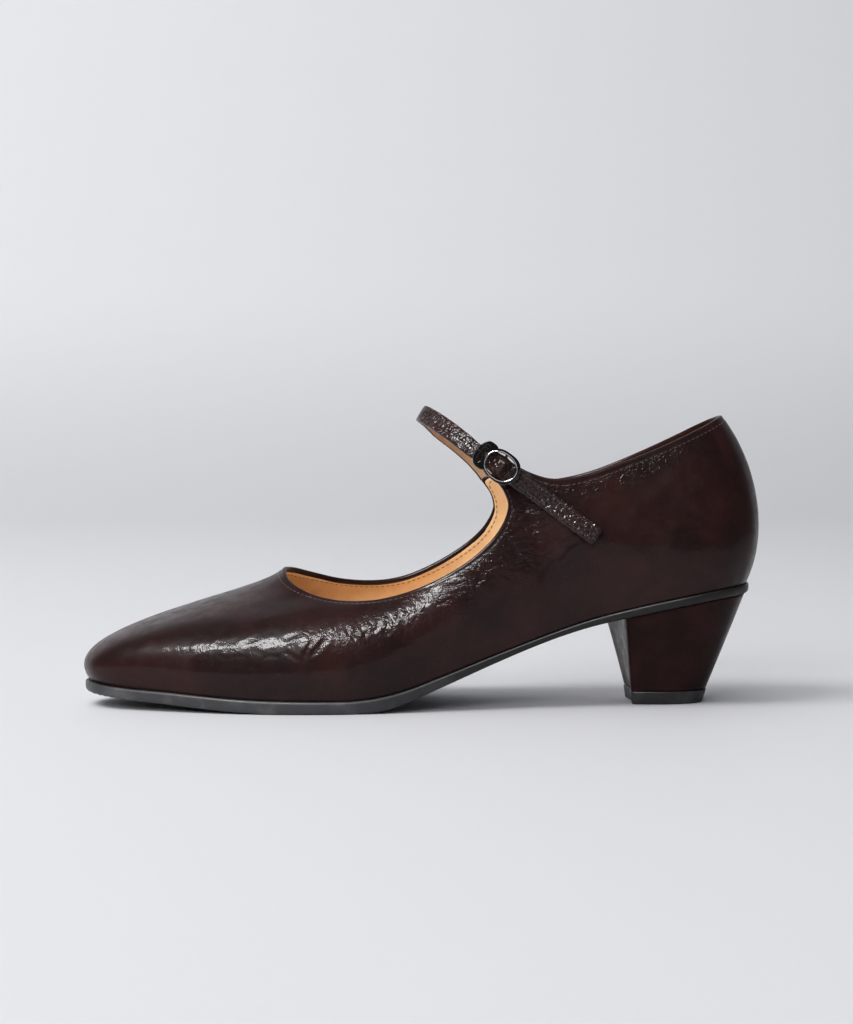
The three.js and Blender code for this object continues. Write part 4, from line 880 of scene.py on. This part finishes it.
def crinkled(leather):
    """Fine ridges over the flexing line, in folds beside the throat and in pits behind."""
    layers = []
    for name, scale, stretch, turned, depth in (
            ("arcs", 300, (1.1, 1, 0.7), 25, 0.10), ("fans", 300, (0.4, 1, 1.2), -38, 0.18),
            ("pits", 420, (0.75, 1, 1), 0, 0.14)):
        mask = leather.node("Attribute", {"attribute_name": name}).outputs["Fac"]
        fine = leather.cloud(scale, 3, 0.55, 0.5, stretch, (0, turned, 0))
        fold = leather.worked("ABSOLUTE", leather.worked("SUBTRACT", fine, 0.5))
        layers.append((leather.worked("MULTIPLY", leather.band(fold, 0.0, 0.11), mask), depth, 0.8))
    return layers


upper_hide = oxblood_leather("upper_leather", creasing=crinkled)
upper = placed_mesh("upper_leather", np.concatenate(rings), faces, [upper_hide])
for name, field in (("arcs", arcs), ("fans", fans), ("pits", pits)):
    values = np.zeros(len(rings) * count, np.float32)
    values[:OUTER_ROWS * count] = (field * held).T.ravel()
    upper.data.attributes.new(name, "FLOAT", "POINT").data.foreach_set("value", values)
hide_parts("upper")
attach(upper, "root")


# Lining. A tan leather lining cemented inside the upper, trimmed just below the folded
# edge and stitched through it.
LINING_STATIONS = 230
LINING_ROWS = 40
LINING_DOWN = 0.75
LINING_SWELL = 0.05
LINING_TAN = (0.97, 0.67, 0.36)
LINING_BROWN = (0.84, 0.54, 0.27)
lining_turns = all_round(LINING_STATIONS, LINING_STATIONS)
shown, _ = rows_up(lining_turns, np.linspace(0, 1, LINING_ROWS), RIM + LINING_DOWN)
shown_out, _ = outward_of(shown)
soft = LINING_SWELL * waves(shown, 9, 4.4)
lining_face = shown - shown_out * (WALL + 0.02 + soft)[..., None]
hidden = shown - shown_out * (LEATHER + 0.12)
edge_mid = (lining_face[:, -1] + hidden[:, -1]) / 2
lining_up = unit(lining_face[:, -1] - lining_face[:, -2])
rings = [under_edge(lining_turns, WALL_FOOT)] + [lining_face[:, i] for i in range(1, LINING_ROWS)]
rings += [edge_mid + 0.3 * lining_up]
rings += [hidden[:, i] for i in range(LINING_ROWS - 1, 0, -3)] + [under_edge(lining_turns, LEATHER + 0.32)]
faces = ring_faces(len(rings), len(lining_turns), closed=True)
lining_leather = tan_leather("lining_leather", LINING_TAN, LINING_BROWN)
lining = placed_mesh("upper_lining", np.concatenate(rings), faces, [lining_leather])
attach(lining, "root")


# Strap. A narrow folded band of the upper's leather, stitched along both edges. It is
# sewn inside the inner wing, goes over the instep and through the buckle, and lies on the
# outer side to its squared end.
STRAP_WIDTH = 7.2
STRAP_THICK = 1.8
BUCKLE_AT = 26.396
BUCKLE_HIGH = 87.2025
STRAP_SLOPE = math.radians(36.2)
STRAP_TAIL = 43.1
STRAP_STEPS = 1060
STRAP_ACROSS = 46
UNDER_ACROSS = 12
END_ROUND = 0.9
CROWN = 0.14
STITCH_IN = 0.9
STITCH_GROOVE = 0.12
CRACKLE_DEPTH = 0.17
LADDER_PITCH = 2.1
LADDER_DEPTH = 0.36
DOME_LONG = 4.6
DOME_FALL = 1.15
# The underside's tan is the lining's, darkened: painted shade under the strap.
STRAP_SHADED_TAN = (0.60, 0.40, 0.24)
STRAP_SHADED_BROWN = (0.40, 0.26, 0.16)
# Its two edges from the inner wing over the instep, as points.
STRAP_OVER = (
    ((22.7, 26.4, 80.0), (31.2, 25.85, 84.15)),
    ((21.9, 26.4, 81.2), (30.3, 25.8, 85.3)), ((19.0, 26.2, 84.9), (26.3, 25.0, 88.8)),
    ((13.2, 24.2, 90.4), (19.3, 22.3, 95.6)), ((5.2, 18.6, 96.6), (10.2, 16.4, 101.9)),
    ((0.6, 11.0, 100.4), (4.0, 9.6, 106.2)), ((-2.6, 0, 102.9), (0.8, -1.0, 108.5)),
    ((1.6, -11.2, 100.8), (5.6, -9.6, 106.1)), ((7.1, -18.6, 97.1), (11.0, -16.8, 102.3)),
    ((11.7, -23.0, 93.6), (15.8, -21.5, 98.5)), ((16.3, -25.8, 90.1), (20.6, -24.9, 94.7)),
)
# On the outer side: share of the tail from the buckle's middle, height over the upper as a
# share of the thickness, and share of the width.
STRAP_ON_SIDE = (
    (-0.2, 1.56, 1), (-0.14, 1.83, 1), (-0.086, 1.88, 0.98), (-0.05, 2.6, 1.04), (-0.022, 3.16, 1.07),
    (0, 3.26, 1.08), (0.022, 3.16, 1.07), (0.05, 2.6, 1.04), (0.086, 1.88, 0.98), (0.14, 1.9, 1),
    (0.25, 1.92, 1), (0.35, 1.6, 1), (0.5, 1.25, 1), (0.75, 1.22, 1), (1, 1.4, 1),
)


def side_at(x, z):
    """Place on the outer side's face at a length and a height, closed in on step by step."""
    turn, t, e = -0.72, 0.8, 1e-4
    for _ in range(40):
        p = skin(turn, t)
        ex, ez = x - p[0], z - p[2]
        if abs(ex) + abs(ez) < 1e-5:
            break
        a, b = (skin(turn + e, t) - p) / e, (skin(turn, t + e) - p) / e
        det = a[0] * b[2] - a[2] * b[0]
        turn += min(max((ex * b[2] - ez * b[0]) / det, -0.05), 0.05)
        t += min(max((a[0] * ez - a[2] * ex) / det, -0.1), 0.1)
    return skin(turn, t)


# The buckle's own axes, from two places on the upper's face, one further down the strap.
SLOPE_OVER = 9.03
buckle_foot = side_at(BUCKLE_AT, BUCKLE_HIGH)
buckle_next = side_at(BUCKLE_AT + SLOPE_OVER * math.cos(STRAP_SLOPE),
                      BUCKLE_HIGH - SLOPE_OVER * math.sin(STRAP_SLOPE))
buckle_along = unit(buckle_next - buckle_foot)
buckle_off = unit(np.cross(buckle_along, (math.sin(STRAP_SLOPE), 0, math.cos(STRAP_SLOPE))))
buckle_across = np.cross(buckle_off, buckle_along)


def at_buckle(along, across, off):
    """Points given in the buckle's own axes, along the strap, across it and off the shoe."""
    along, across, off = (np.asarray(v, float)[..., None] for v in (along, across, off))
    return buckle_foot + along * buckle_along + across * buckle_across + off * buckle_off


rows = [(np.array(a, float), np.array(b, float)) for a, b in STRAP_OVER]
for run, lift, full in STRAP_ON_SIDE:
    pair = []
    for edge in (-1, 1):
        p = at_buckle(run * STRAP_TAIL, edge * full * STRAP_WIDTH / 2, lift * STRAP_THICK)
        if run > 0:
            p[1] = side_at(p[0], p[2])[1] - lift * STRAP_THICK
        pair.append(p)
    rows.append(tuple(pair))
middles = np.array([(a + b) / 2 for a, b in rows])
runs = run_along(middles)
strap_line = Through([(r, *a, *b) for r, (a, b) in zip(runs, rows)])
strap_long = runs[-1]
at_window = runs[len(STRAP_OVER) + [row[0] for row in STRAP_ON_SIDE].index(0)]
s = np.linspace(0, strap_long, STRAP_STEPS + 1)
pair = strap_line(s)
front, backs = pair[:, :3], pair[:, 3:]
centre = (front + backs) / 2
across = backs - front
half = np.linalg.norm(across, axis=1) / 2
across /= 2 * half[:, None]
tangent = unit(np.gradient(centre, axis=0))
off = unit(np.cross(tangent, across))
# The squared end has small round corners.
near_end = np.clip(END_ROUND - (strap_long - s), 0, END_ROUND)
half = half - (END_ROUND - np.sqrt(END_ROUND**2 - near_end**2))


def soft_step(v, low, high):
    t = np.clip((v - low) / (high - low), 0, 1)
    return t * t * (3 - 2 * t)


def strap_face(s, w, half):
    """Height of the face along and across it: crowned, sunk along its stitches, crackled up
    to the buckle, a dome in its window, and wrinkled like a ladder from there to the end."""
    edge = (1 - np.abs(w)) * half
    height = CROWN * (1 - w**4) - CROWN
    height -= STITCH_GROOVE * np.exp(-((edge - STITCH_IN) / 0.3)**2)
    dome = np.exp(-((s - at_window) / DOME_LONG)**4)
    height -= dome * (DOME_FALL * w**4 + 0.3 * w * w)
    spots = np.stack((s, w * half, 0 * s), -1)
    rough = waves(spots, 1.7, 2.3, (1, 0.8, 1))
    swirl = waves(spots, 3.1, 6.1, (1, 0.7, 1))
    inside = soft_step(edge, STITCH_IN * 0.9, STITCH_IN * 1.9)
    before = soft_step(s, 13, 24) * (1 - soft_step(s, at_window - 7, at_window - 4))
    fold = np.exp(-(rough / 0.17)**2)
    height -= before * inside * (CRACKLE_DEPTH * fold + 0.10 * swirl)
    after = soft_step(s, at_window + 6.5, at_window + 9)
    after = after * (1 - soft_step(s, strap_long - 3.4, strap_long - 1.6))
    rung = np.sin(np.pi * (s / LADDER_PITCH + 0.55 * swirl + 0.16 * w))
    ladder = np.exp(-(rung / 0.5)**2) * (0.65 + 0.8 * waves(spots, 4.0, 9.4))
    height -= after * inside * (LADDER_DEPTH * ladder + 0.12 * rough)
    return height - 0.05 * np.maximum(before, after) * (1 - inside) * rough


w_grid, s_grid = np.meshgrid(np.linspace(-1, 1, STRAP_ACROSS), s)
edge_round = STRAP_THICK / 2 * 0.7
flat_half = half - edge_round
top_height = strap_face(s_grid, w_grid, flat_half[:, None])
turn_angles = np.linspace(0, math.pi, 10)[1:-1]


def edge_columns(side):
    """One rounded edge: down from the face on one side (1), up to it on the other (-1)."""
    columns = []
    for a in turn_angles:
        level = STRAP_THICK / 2 * (side * math.cos(a) - 1)
        share = 0.5 + 0.5 * side * math.cos(a)
        columns.append((side * (flat_half + edge_round * math.sin(a)),
                        level + top_height[:, -1 if side > 0 else 0] * share))
    return columns


columns = [(w_grid[:, j] * flat_half, top_height[:, j]) for j in range(STRAP_ACROSS)]
columns += edge_columns(1)
columns += [(w * flat_half, np.full(len(s), -STRAP_THICK)) for w in np.linspace(1, -1, UNDER_ACROSS)]
columns += edge_columns(-1)
grid = np.stack([centre + wide[:, None] * across + high[:, None] * off for wide, high in columns], 1)
points, faces = capped_rings(list(grid))
# The faces of the underside, which are in the tan leather, darker than the lining: painted shade under the
# strap.
column = np.arange(len(faces)) % len(columns)
first_under = STRAP_ACROSS + len(turn_angles)
under = (column >= first_under) & (column < first_under + UNDER_ACROSS - 1)
under[STRAP_STEPS * len(columns):] = False


def crackled(leather):
    """The strap's glaze, cracked into small glossy islands."""
    crack = leather.band(leather.cells(560, "DISTANCE_TO_EDGE"), 0.0, 0.34)
    swell = leather.cloud(620, 2, 0.5, 0.6)
    return ((crack, 0.2, 0.8), (swell, 0.42, 0.8))


strap_leather = oxblood_leather("strap_leather", coat=0.6, creasing=crackled)
strap_lining = tan_leather("strap_underside", STRAP_SHADED_TAN, STRAP_SHADED_BROWN)
strap = placed_mesh("instep_strap", points, faces, [strap_leather, strap_lining], under)
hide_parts("strap")
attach(strap, "root")


# Buckle. A small cast frame in black plating, with a round window that the strap humps
# through and a narrow slot beside it, a polished ring round the window, and under it the
# bar on two posts that a leather tab, sewn to the outer side, loops round.
FRAME_LEVEL = 3.85
FRAME_THICK = 1.7
FRAME_BEVEL = 0.38
FRAME_MIDDLE = -3.0
# Rounded oblongs in the frame's plane: middle along the strap, half length, half width.
LOBES = ((0.75, 6.6, 5.7), (-6.2, 3.7, 5.3))
WINDOW = (0.3, 5.4, 4.3)
SLOT = (-7.45, 0.8, 3.45)
RING = (0.35, 6.05, 4.85)
RING_TUBE = 0.24
RING_POINTS = 96
BAR_LEVEL = 1.85
BAR_RADIUS = 0.5
POST = (1.4, 1.1)
PLATING = (0.013, 0.013, 0.014)
PLATING_RUBBED_GLINT = (0.30, 0.30, 0.31)
STEEL = (0.62, 0.61, 0.62)
plated = Finish("buckle_plating", PLATING, 0.16, Metallic=0.85, Coat_Weight=0.7, Coat_Roughness=0.06)
# The frame's sharp edges turn grey: rubbed plating with painted edge glints.
rubbed_and_glint = plated.band(plated.pointed(), 0.55, 0.66, 0.0, 0.6)
plated.colour(plated.blend(rubbed_and_glint, PLATING, PLATING_RUBBED_GLINT))
plated.roughness(plated.cloud(500, 3), 0.3, 0.7, 0.12, 0.24)
plated.relief((plated.cloud(900, 3), 0.012, 0.15))
polished = Finish("ring_steel", STEEL, 0.14, Metallic=1.0)
polished.roughness(polished.cloud(700, 3), 0.3, 0.7, 0.08, 0.22)
polished.relief((polished.cloud(1500, 2), 0.006, 0.15))


def round_box(lobe, angles, power, middle):
    """How far a rounded oblong reaches from a point inside it, found by halving steps."""
    reach = np.zeros(len(angles))
    for k, a in enumerate(angles):
        low, high = 0.0, 30.0
        for _ in range(40):
            far = (low + high) / 2
            u = abs((middle + far * math.cos(a) - lobe[0]) / lobe[1])
            v = abs(far * math.sin(a) / lobe[2])
            low, high = (far, high) if u**power + v**power < 1 else (low, far)
        reach[k] = low
    return reach


def outline_points(lobes, power, middle, count):
    """The outline round one or more oblongs. A higher power squares their corners."""
    angles = 2 * math.pi * np.arange(count) / count
    reach = np.max([round_box(lobe, angles, power, middle) for lobe in lobes], axis=0)
    return np.column_stack((middle + reach * np.cos(angles), reach * np.sin(angles)))


def flat_plate(name, outlines, bevel, half_thick):
    """A flat curve's outlines, filled, thickened and rounded along their edges, as a mesh."""
    curve = bpy.data.curves.new(name, "CURVE")
    curve.dimensions = "2D"
    curve.fill_mode = "BOTH"
    curve.extrude = half_thick - bevel
    curve.bevel_depth = bevel
    curve.bevel_resolution = 4
    curve.offset = -bevel
    for line in outlines:
        spline = curve.splines.new("POLY")
        spline.points.add(len(line) - 1)
        flat = np.pad(line, ((0, 0), (0, 2)))
        flat[:, 3] = 1
        spline.points.foreach_set("co", flat.ravel())
        spline.use_cyclic_u = True
    drawn = new_object(name, curve)
    mesh = bpy.data.meshes.new_from_object(drawn.evaluated_get(bpy.context.evaluated_depsgraph_get()))
    points = np.array([v.co for v in mesh.vertices])
    faces = [tuple(f.vertices) for f in mesh.polygons]
    bpy.data.objects.remove(drawn)
    bpy.data.curves.remove(curve)
    bpy.data.meshes.remove(mesh)
    return points, faces


def tube(path, radius, sides, closed):
    """A round bar along a path of points, closed in itself or with flat ends."""
    ahead = unit(np.roll(path, -1, 0) - np.roll(path, 1, 0) if closed else np.gradient(path, axis=0))
    side = np.cross(ahead, (0, 0, 1)) if closed else np.cross(ahead, (1, 0, 0))
    up = np.cross(side, ahead)
    angles = 2 * np.pi * np.arange(sides) / sides
    rings = [[p + radius * (math.cos(a) * side[k] + math.sin(a) * up[k]) for a in angles]
             for k, p in enumerate(path)]
    if closed:
        return [p for ring in rings for p in ring], ring_faces(len(path), sides, closed)
    return capped_rings(rings)


def block(x, y, low, high):
    """A plain box, given by its half sizes and levels about a place."""
    points = [(x[0] + a * x[1], y[0] + b * y[1], z) for z in (low, high) for a in (-1, 1) for b in (-1, 1)]
    return points, [(0, 1, 3, 2), (4, 6, 7, 5), (0, 4, 5, 1), (2, 3, 7, 6), (0, 2, 6, 4), (1, 5, 7, 3)]


outlines = (outline_points(LOBES, 2.6, FRAME_MIDDLE, 200), outline_points((WINDOW,), 2.4, WINDOW[0], 120),
            outline_points((SLOT,), 4.0, SLOT[0], 72))
plate_points, plate_faces = flat_plate("frame_plate", outlines, FRAME_BEVEL, FRAME_THICK / 2)
plate_points[:, 2] += FRAME_LEVEL + FRAME_THICK / 2
bar_half = WINDOW[2] + 0.6
bar_path = np.array([(0, y, BAR_LEVEL) for y in np.linspace(-bar_half, bar_half, 5)])
parts = [(plate_points, plate_faces), tube(bar_path, BAR_RADIUS, 24, False)]
for side in (-1, 1):
    parts.append(block((0, POST[0] / 2), (side * bar_half, POST[1] / 2), BAR_LEVEL - BAR_RADIUS,
                       FRAME_LEVEL + 0.5))
points, faces = [], []
for part_points, part_faces in parts:
    base = len(points)
    points += list(np.asarray(part_points, float))
    faces += [tuple(base + i for i in face) for face in part_faces]
buckle = placed_mesh("buckle_casting", at_buckle(*np.transpose(points)), faces, [plated.material])
buckle.data.set_sharp_from_angle(angle=math.radians(32))
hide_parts("buckle_frame")
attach(buckle, "root")

ring_path = outline_points((RING,), 2.15, RING[0], RING_POINTS)
ring_path = np.column_stack((ring_path, np.full(RING_POINTS, FRAME_LEVEL + FRAME_THICK + 0.06)))
points, faces = tube(ring_path, RING_TUBE, 12, True)
ring = placed_mesh("window_ring", at_buckle(*np.transpose(points)), faces, [polished.material])
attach(ring, "root")

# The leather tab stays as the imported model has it, in the same leather as the heel.
buckle_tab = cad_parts["buckle_tab"]
buckle_tab.data.materials.clear()
buckle_tab.data.materials.append(heel_leather)


# Stitches. Waxed thread sewn by machine: one row round the topline, seen on the leather
# and on the lining, and rows along both edges and the end of the strap.
STITCH_PITCH = 2.0
STITCH_LONG = 1.55
STITCH_THICK = 0.36
STITCH_SUNK = 0.02
TOPLINE_STITCH_DOWN = 2.7
LINING_STITCH_DOWN = 1.7
STRAP_PITCH = 1.7
STRAP_STITCH_LONG = 1.3
STRAP_STITCH_THICK = 0.34
STRAP_ROW_FROM = 9.0
STRAP_ROW_END = 1.6
HIDDEN_BEFORE = 5.5
HIDDEN_AFTER = 8.5
END_ROW_IN = 1.1
OXBLOOD_THREAD = (0.050, 0.021, 0.018)
BROWN_THREAD = (0.155, 0.070, 0.034)


def thread(name, colour):
    """Twisted thread, with painted shade between its strands."""
    spun = Finish(name, colour, 0.5, Sheen_Weight=0.2)
    twist = spun.cloud(2400, 2, 0.5)
    # Darker in the grooves between the strands: painted shade.
    spun.colour(spun.blend(spun.band(twist, 0.35, 0.7), tuple(0.6 * v for v in colour), colour))
    spun.relief((twist, 0.03, 0.4))
    return spun.material


def stitch_group():
    """Node group that sets one small stitch on every point, turned along its row."""
    group = bpy.data.node_groups.new("stitch_row", "GeometryNodeTree")
    group.interface.new_socket("Geometry", in_out="INPUT", socket_type="NodeSocketGeometry")
    for name, kind in (("Length", "NodeSocketFloat"), ("Thickness", "NodeSocketFloat"),
                       ("Thread", "NodeSocketMaterial")):
        group.interface.new_socket(name, in_out="INPUT", socket_type=kind)
    group.interface.new_socket("Geometry", in_out="OUTPUT", socket_type="NodeSocketGeometry")

    def node(kind, **settings):
        made = group.nodes.new(kind)
        for key, value in settings.items():
            setattr(made, key, value)
        return made

    given = node("NodeGroupInput")
    result = node("NodeGroupOutput")
    to_points = node("GeometryNodeMeshToPoints")
    bead = node("GeometryNodeMeshUVSphere")
    along = node("GeometryNodeInputNamedAttribute", data_type="FLOAT_VECTOR")
    facing = node("GeometryNodeInputNamedAttribute", data_type="FLOAT_VECTOR")
    turned = node("FunctionNodeAxesToRotation", primary_axis="Z", secondary_axis="X")
    size = node("ShaderNodeCombineXYZ")
    place = node("GeometryNodeInstanceOnPoints")
    real = node("GeometryNodeRealizeInstances")
    smooth = node("GeometryNodeSetShadeSmooth")
    paint = node("GeometryNodeSetMaterial")
    for made, socket, value in ((bead, "Segments", 6), (bead, "Rings", 4), (bead, "Radius", 0.5),
                                (along, "Name", "along"), (facing, "Name", "facing")):
        made.inputs[socket].default_value = value
    for giver, gives, taker, takes in (
            (given, "Geometry", to_points, "Mesh"), (to_points, "Points", place, "Points"),
            (bead, "Mesh", place, "Instance"), (along, "Attribute", turned, "Primary Axis"),
            (facing, "Attribute", turned, "Secondary Axis"), (turned, "Rotation", place, "Rotation"),
            (given, "Thickness", size, "X"), (given, "Thickness", size, "Y"), (given, "Length", size, "Z"),
            (size, "Vector", place, "Scale"), (place, "Instances", real, "Geometry"),
            (real, "Geometry", smooth, "Geometry"), (smooth, "Geometry", paint, "Geometry"),
            (given, "Thread", paint, "Material"), (paint, "Geometry", result, "Geometry")):
        group.links.new(giver.outputs[gives], taker.inputs[takes])
    return group


stitch_row = stitch_group()


def sewn(name, places, along, facing, material, slot, long=STITCH_LONG, thick=STITCH_THICK):
    """Stitches at given places as one mesh piece."""
    seed = placed_mesh(name + "_places", places, [], [])
    for key, vectors in (("along", along), ("facing", facing)):
        seed.data.attributes.new(key, "FLOAT_VECTOR", "POINT").data.foreach_set(
            "vector", np.asarray(vectors, np.float32).ravel())
    step = seed.modifiers.new("stitches", "NODES")
    step.node_group = stitch_row
    given = [item for item in stitch_row.interface.items_tree if item.in_out == "INPUT"]
    inputs = {item.name: item.identifier for item in given}
    step[inputs["Length"]] = long * MM
    step[inputs["Thickness"]] = thick * MM
    step[inputs["Thread"]] = material
    bpy.context.view_layer.update()
    mesh = bpy.data.meshes.new_from_object(seed.evaluated_get(bpy.context.evaluated_depsgraph_get()))
    mesh.name = name
    bpy.data.objects.remove(seed)
    piece = new_object(name, mesh)
    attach(piece, "root")


def each_column(at, known, vectors):
    """Vectors read off at a place between the known ones, column by column."""
    return np.column_stack([np.interp(at, known, vectors[:, c]) for c in range(3)])


def row_on(grid, facing, from_edge, down):
    """Evenly spaced places round a closed grid, at a length down from its edge."""
    line, out = (np.concatenate([each_column([down], d[::-1], g[::-1])
                                 for g, d in zip(vectors, from_edge)]) for vectors in (grid, facing))
    line = np.concatenate((line, line[:1]))
    out = np.concatenate((out, out[:1]))
    run = run_along(line)
    count = int(round(run[-1] / STITCH_PITCH))
    at = run[-1] * (np.arange(count) + 0.5) / count
    places = each_column(at, run, line)
    outs = each_column(at, run, out)
    return places - STITCH_SUNK * outs, unit(np.roll(places, -1, 0) - np.roll(places, 1, 0)), outs


dark_thread = thread("oxblood_thread", OXBLOOD_THREAD)
brown_thread = thread("brown_thread", BROWN_THREAD)
topline_row = row_on(face, outward, from_top + RIM, TOPLINE_STITCH_DOWN)
sewn("topline_stitches", *topline_row, dark_thread, "upper")
below_edge = run_along(lining_face[:, ::-1])[:, ::-1]
lining_row = row_on(lining_face, -shown_out, below_edge, LINING_STITCH_DOWN)
sewn("lining_stitches", *lining_row, brown_thread, "upper")

# The strap's rows start clear of the wing and skip what the buckle hides. Three stitches
# close its end.
places, along, facing = [], [], []
for edge in (-1, 1):
    w = edge * (1 - STITCH_IN / flat_half)
    height = strap_face(s, w, flat_half)
    line = centre + (w * flat_half)[:, None] * across + height[:, None] * off
    shown_at = np.arange(STRAP_ROW_FROM, strap_long - STRAP_ROW_END, STRAP_PITCH)
    clear = (shown_at < at_window - HIDDEN_BEFORE) | (shown_at > at_window + HIDDEN_AFTER)
    kept = np.searchsorted(s, shown_at[clear])
    places.extend(line[kept])
    along.extend(tangent[kept])
    facing.extend(off[kept])
last = np.searchsorted(s, strap_long - END_ROW_IN)
for w in (-0.42, 0.0, 0.42):
    places.append(centre[last] + w * flat_half[last] * across[last] - 0.03 * off[last])
    along.append(across[last])
    facing.append(off[last])
sewn("strap_stitches", places, along, facing, dark_thread, "strap", STRAP_STITCH_LONG, STRAP_STITCH_THICK)


# Stage. A pale sheet of paper that curves up behind the shoe, with painted shade on the
# floor and painted light up the wall, and soft studio lights: a narrow softbox overhead
# towards the toe, a ceiling, a backdrop light and a fill.
FLOOR_HALF = 4.0
FLOOR_FRONT = -1.6
BEND_FROM = 1.2
BEND_RADIUS = 0.8
BEND_STEPS = 12
WALL_TOP = 4.0
PAPER = (0.70, 0.71, 0.735)
PAPER_FLOOR_SHADE = (0.61, 0.612, 0.632)
PAPER_WALL_LIGHT = (0.725, 0.73, 0.755)
profile = [(FLOOR_FRONT, 0.0)]
for k in range(BEND_STEPS + 1):
    a = math.pi / 2 * k / BEND_STEPS
    profile.append((BEND_FROM + BEND_RADIUS * math.sin(a), BEND_RADIUS - BEND_RADIUS * math.cos(a)))
profile.append((BEND_FROM + BEND_RADIUS, WALL_TOP))
stage_points = [(x, y, z) for y, z in profile for x in (-FLOOR_HALF, FLOOR_HALF)]
stage_faces = [(2 * k, 2 * k + 1, 2 * k + 3, 2 * k + 2) for k in range(len(profile) - 1)]
paper = Finish("pale_paper", PAPER, 0.65, Specular_IOR_Level=0.2)
up_wall = paper.node("SeparateXYZ", Vector=paper.coords).outputs["Z"]
# Darker on the floor and lighter up the wall: painted shade and painted light on the paper.
paper.colour(paper.blend(paper.band(up_wall, 0.0, 0.2), PAPER_FLOOR_SHADE, PAPER_WALL_LIGHT))
paper.relief((paper.cloud(900, 2), 0.02, 0.1))
stage_mesh = bpy.data.meshes.new("stage_floor")
stage_mesh.from_pydata(stage_points, [], stage_faces)
stage_mesh.materials.append(paper.material)
stage_mesh.polygons.foreach_set("use_smooth", [True] * len(stage_mesh.polygons))
stage_floor = new_object("stage_floor", stage_mesh)


# Each light: place, what it is aimed at, size, power, and the kind of ray that misses it.
# The softbox makes the streak on the leather, and the others light without a highlight.
LIGHTS = {
    "overhead_softbox": ((-0.5, -0.98, 1.42), (-0.05, 0.0, 0.03), (1.15, 0.32), 66, "visible_diffuse"),
    "ceiling_bounce": ((-0.9, 0.0, 2.3), (0.05, 0.1, 0), (2.8, 2.2), 32, "visible_glossy"),
    "backdrop_wash": ((-1.4, -0.6, 1.9), (-0.1, 2.0, 0.6), (1.6, 1.0), 46, "visible_glossy"),
    "front_fill": ((-0.9, -2.0, 1.1), (0, 0, 0.05), (1.4, 1.0), 27, "visible_glossy"),
}
for name, (place, aim, panel, power, missed) in LIGHTS.items():
    data = bpy.data.lights.new(name, "AREA")
    data.shape = "RECTANGLE"
    data.size, data.size_y = panel
    data.energy = power
    light = new_object(name, data)
    light.location = place
    light.rotation_mode = "QUATERNION"
    light.rotation_quaternion = (Vector(aim) - Vector(place)).to_track_quat("-Z", "Y")
    setattr(light, missed, False)

WORLD_COLOUR = (0.86, 0.88, 0.92, 1)
WORLD_STRENGTH = 0.12
world = bpy.data.worlds.new("studio")
world.use_nodes = True
background = world.node_tree.nodes["Background"]
background.inputs["Color"].default_value = WORLD_COLOUR
background.inputs["Strength"].default_value = WORLD_STRENGTH
bpy.context.scene.world = world
bpy.context.scene.view_settings.view_transform = "Standard"

bpy.context.view_layer.update()
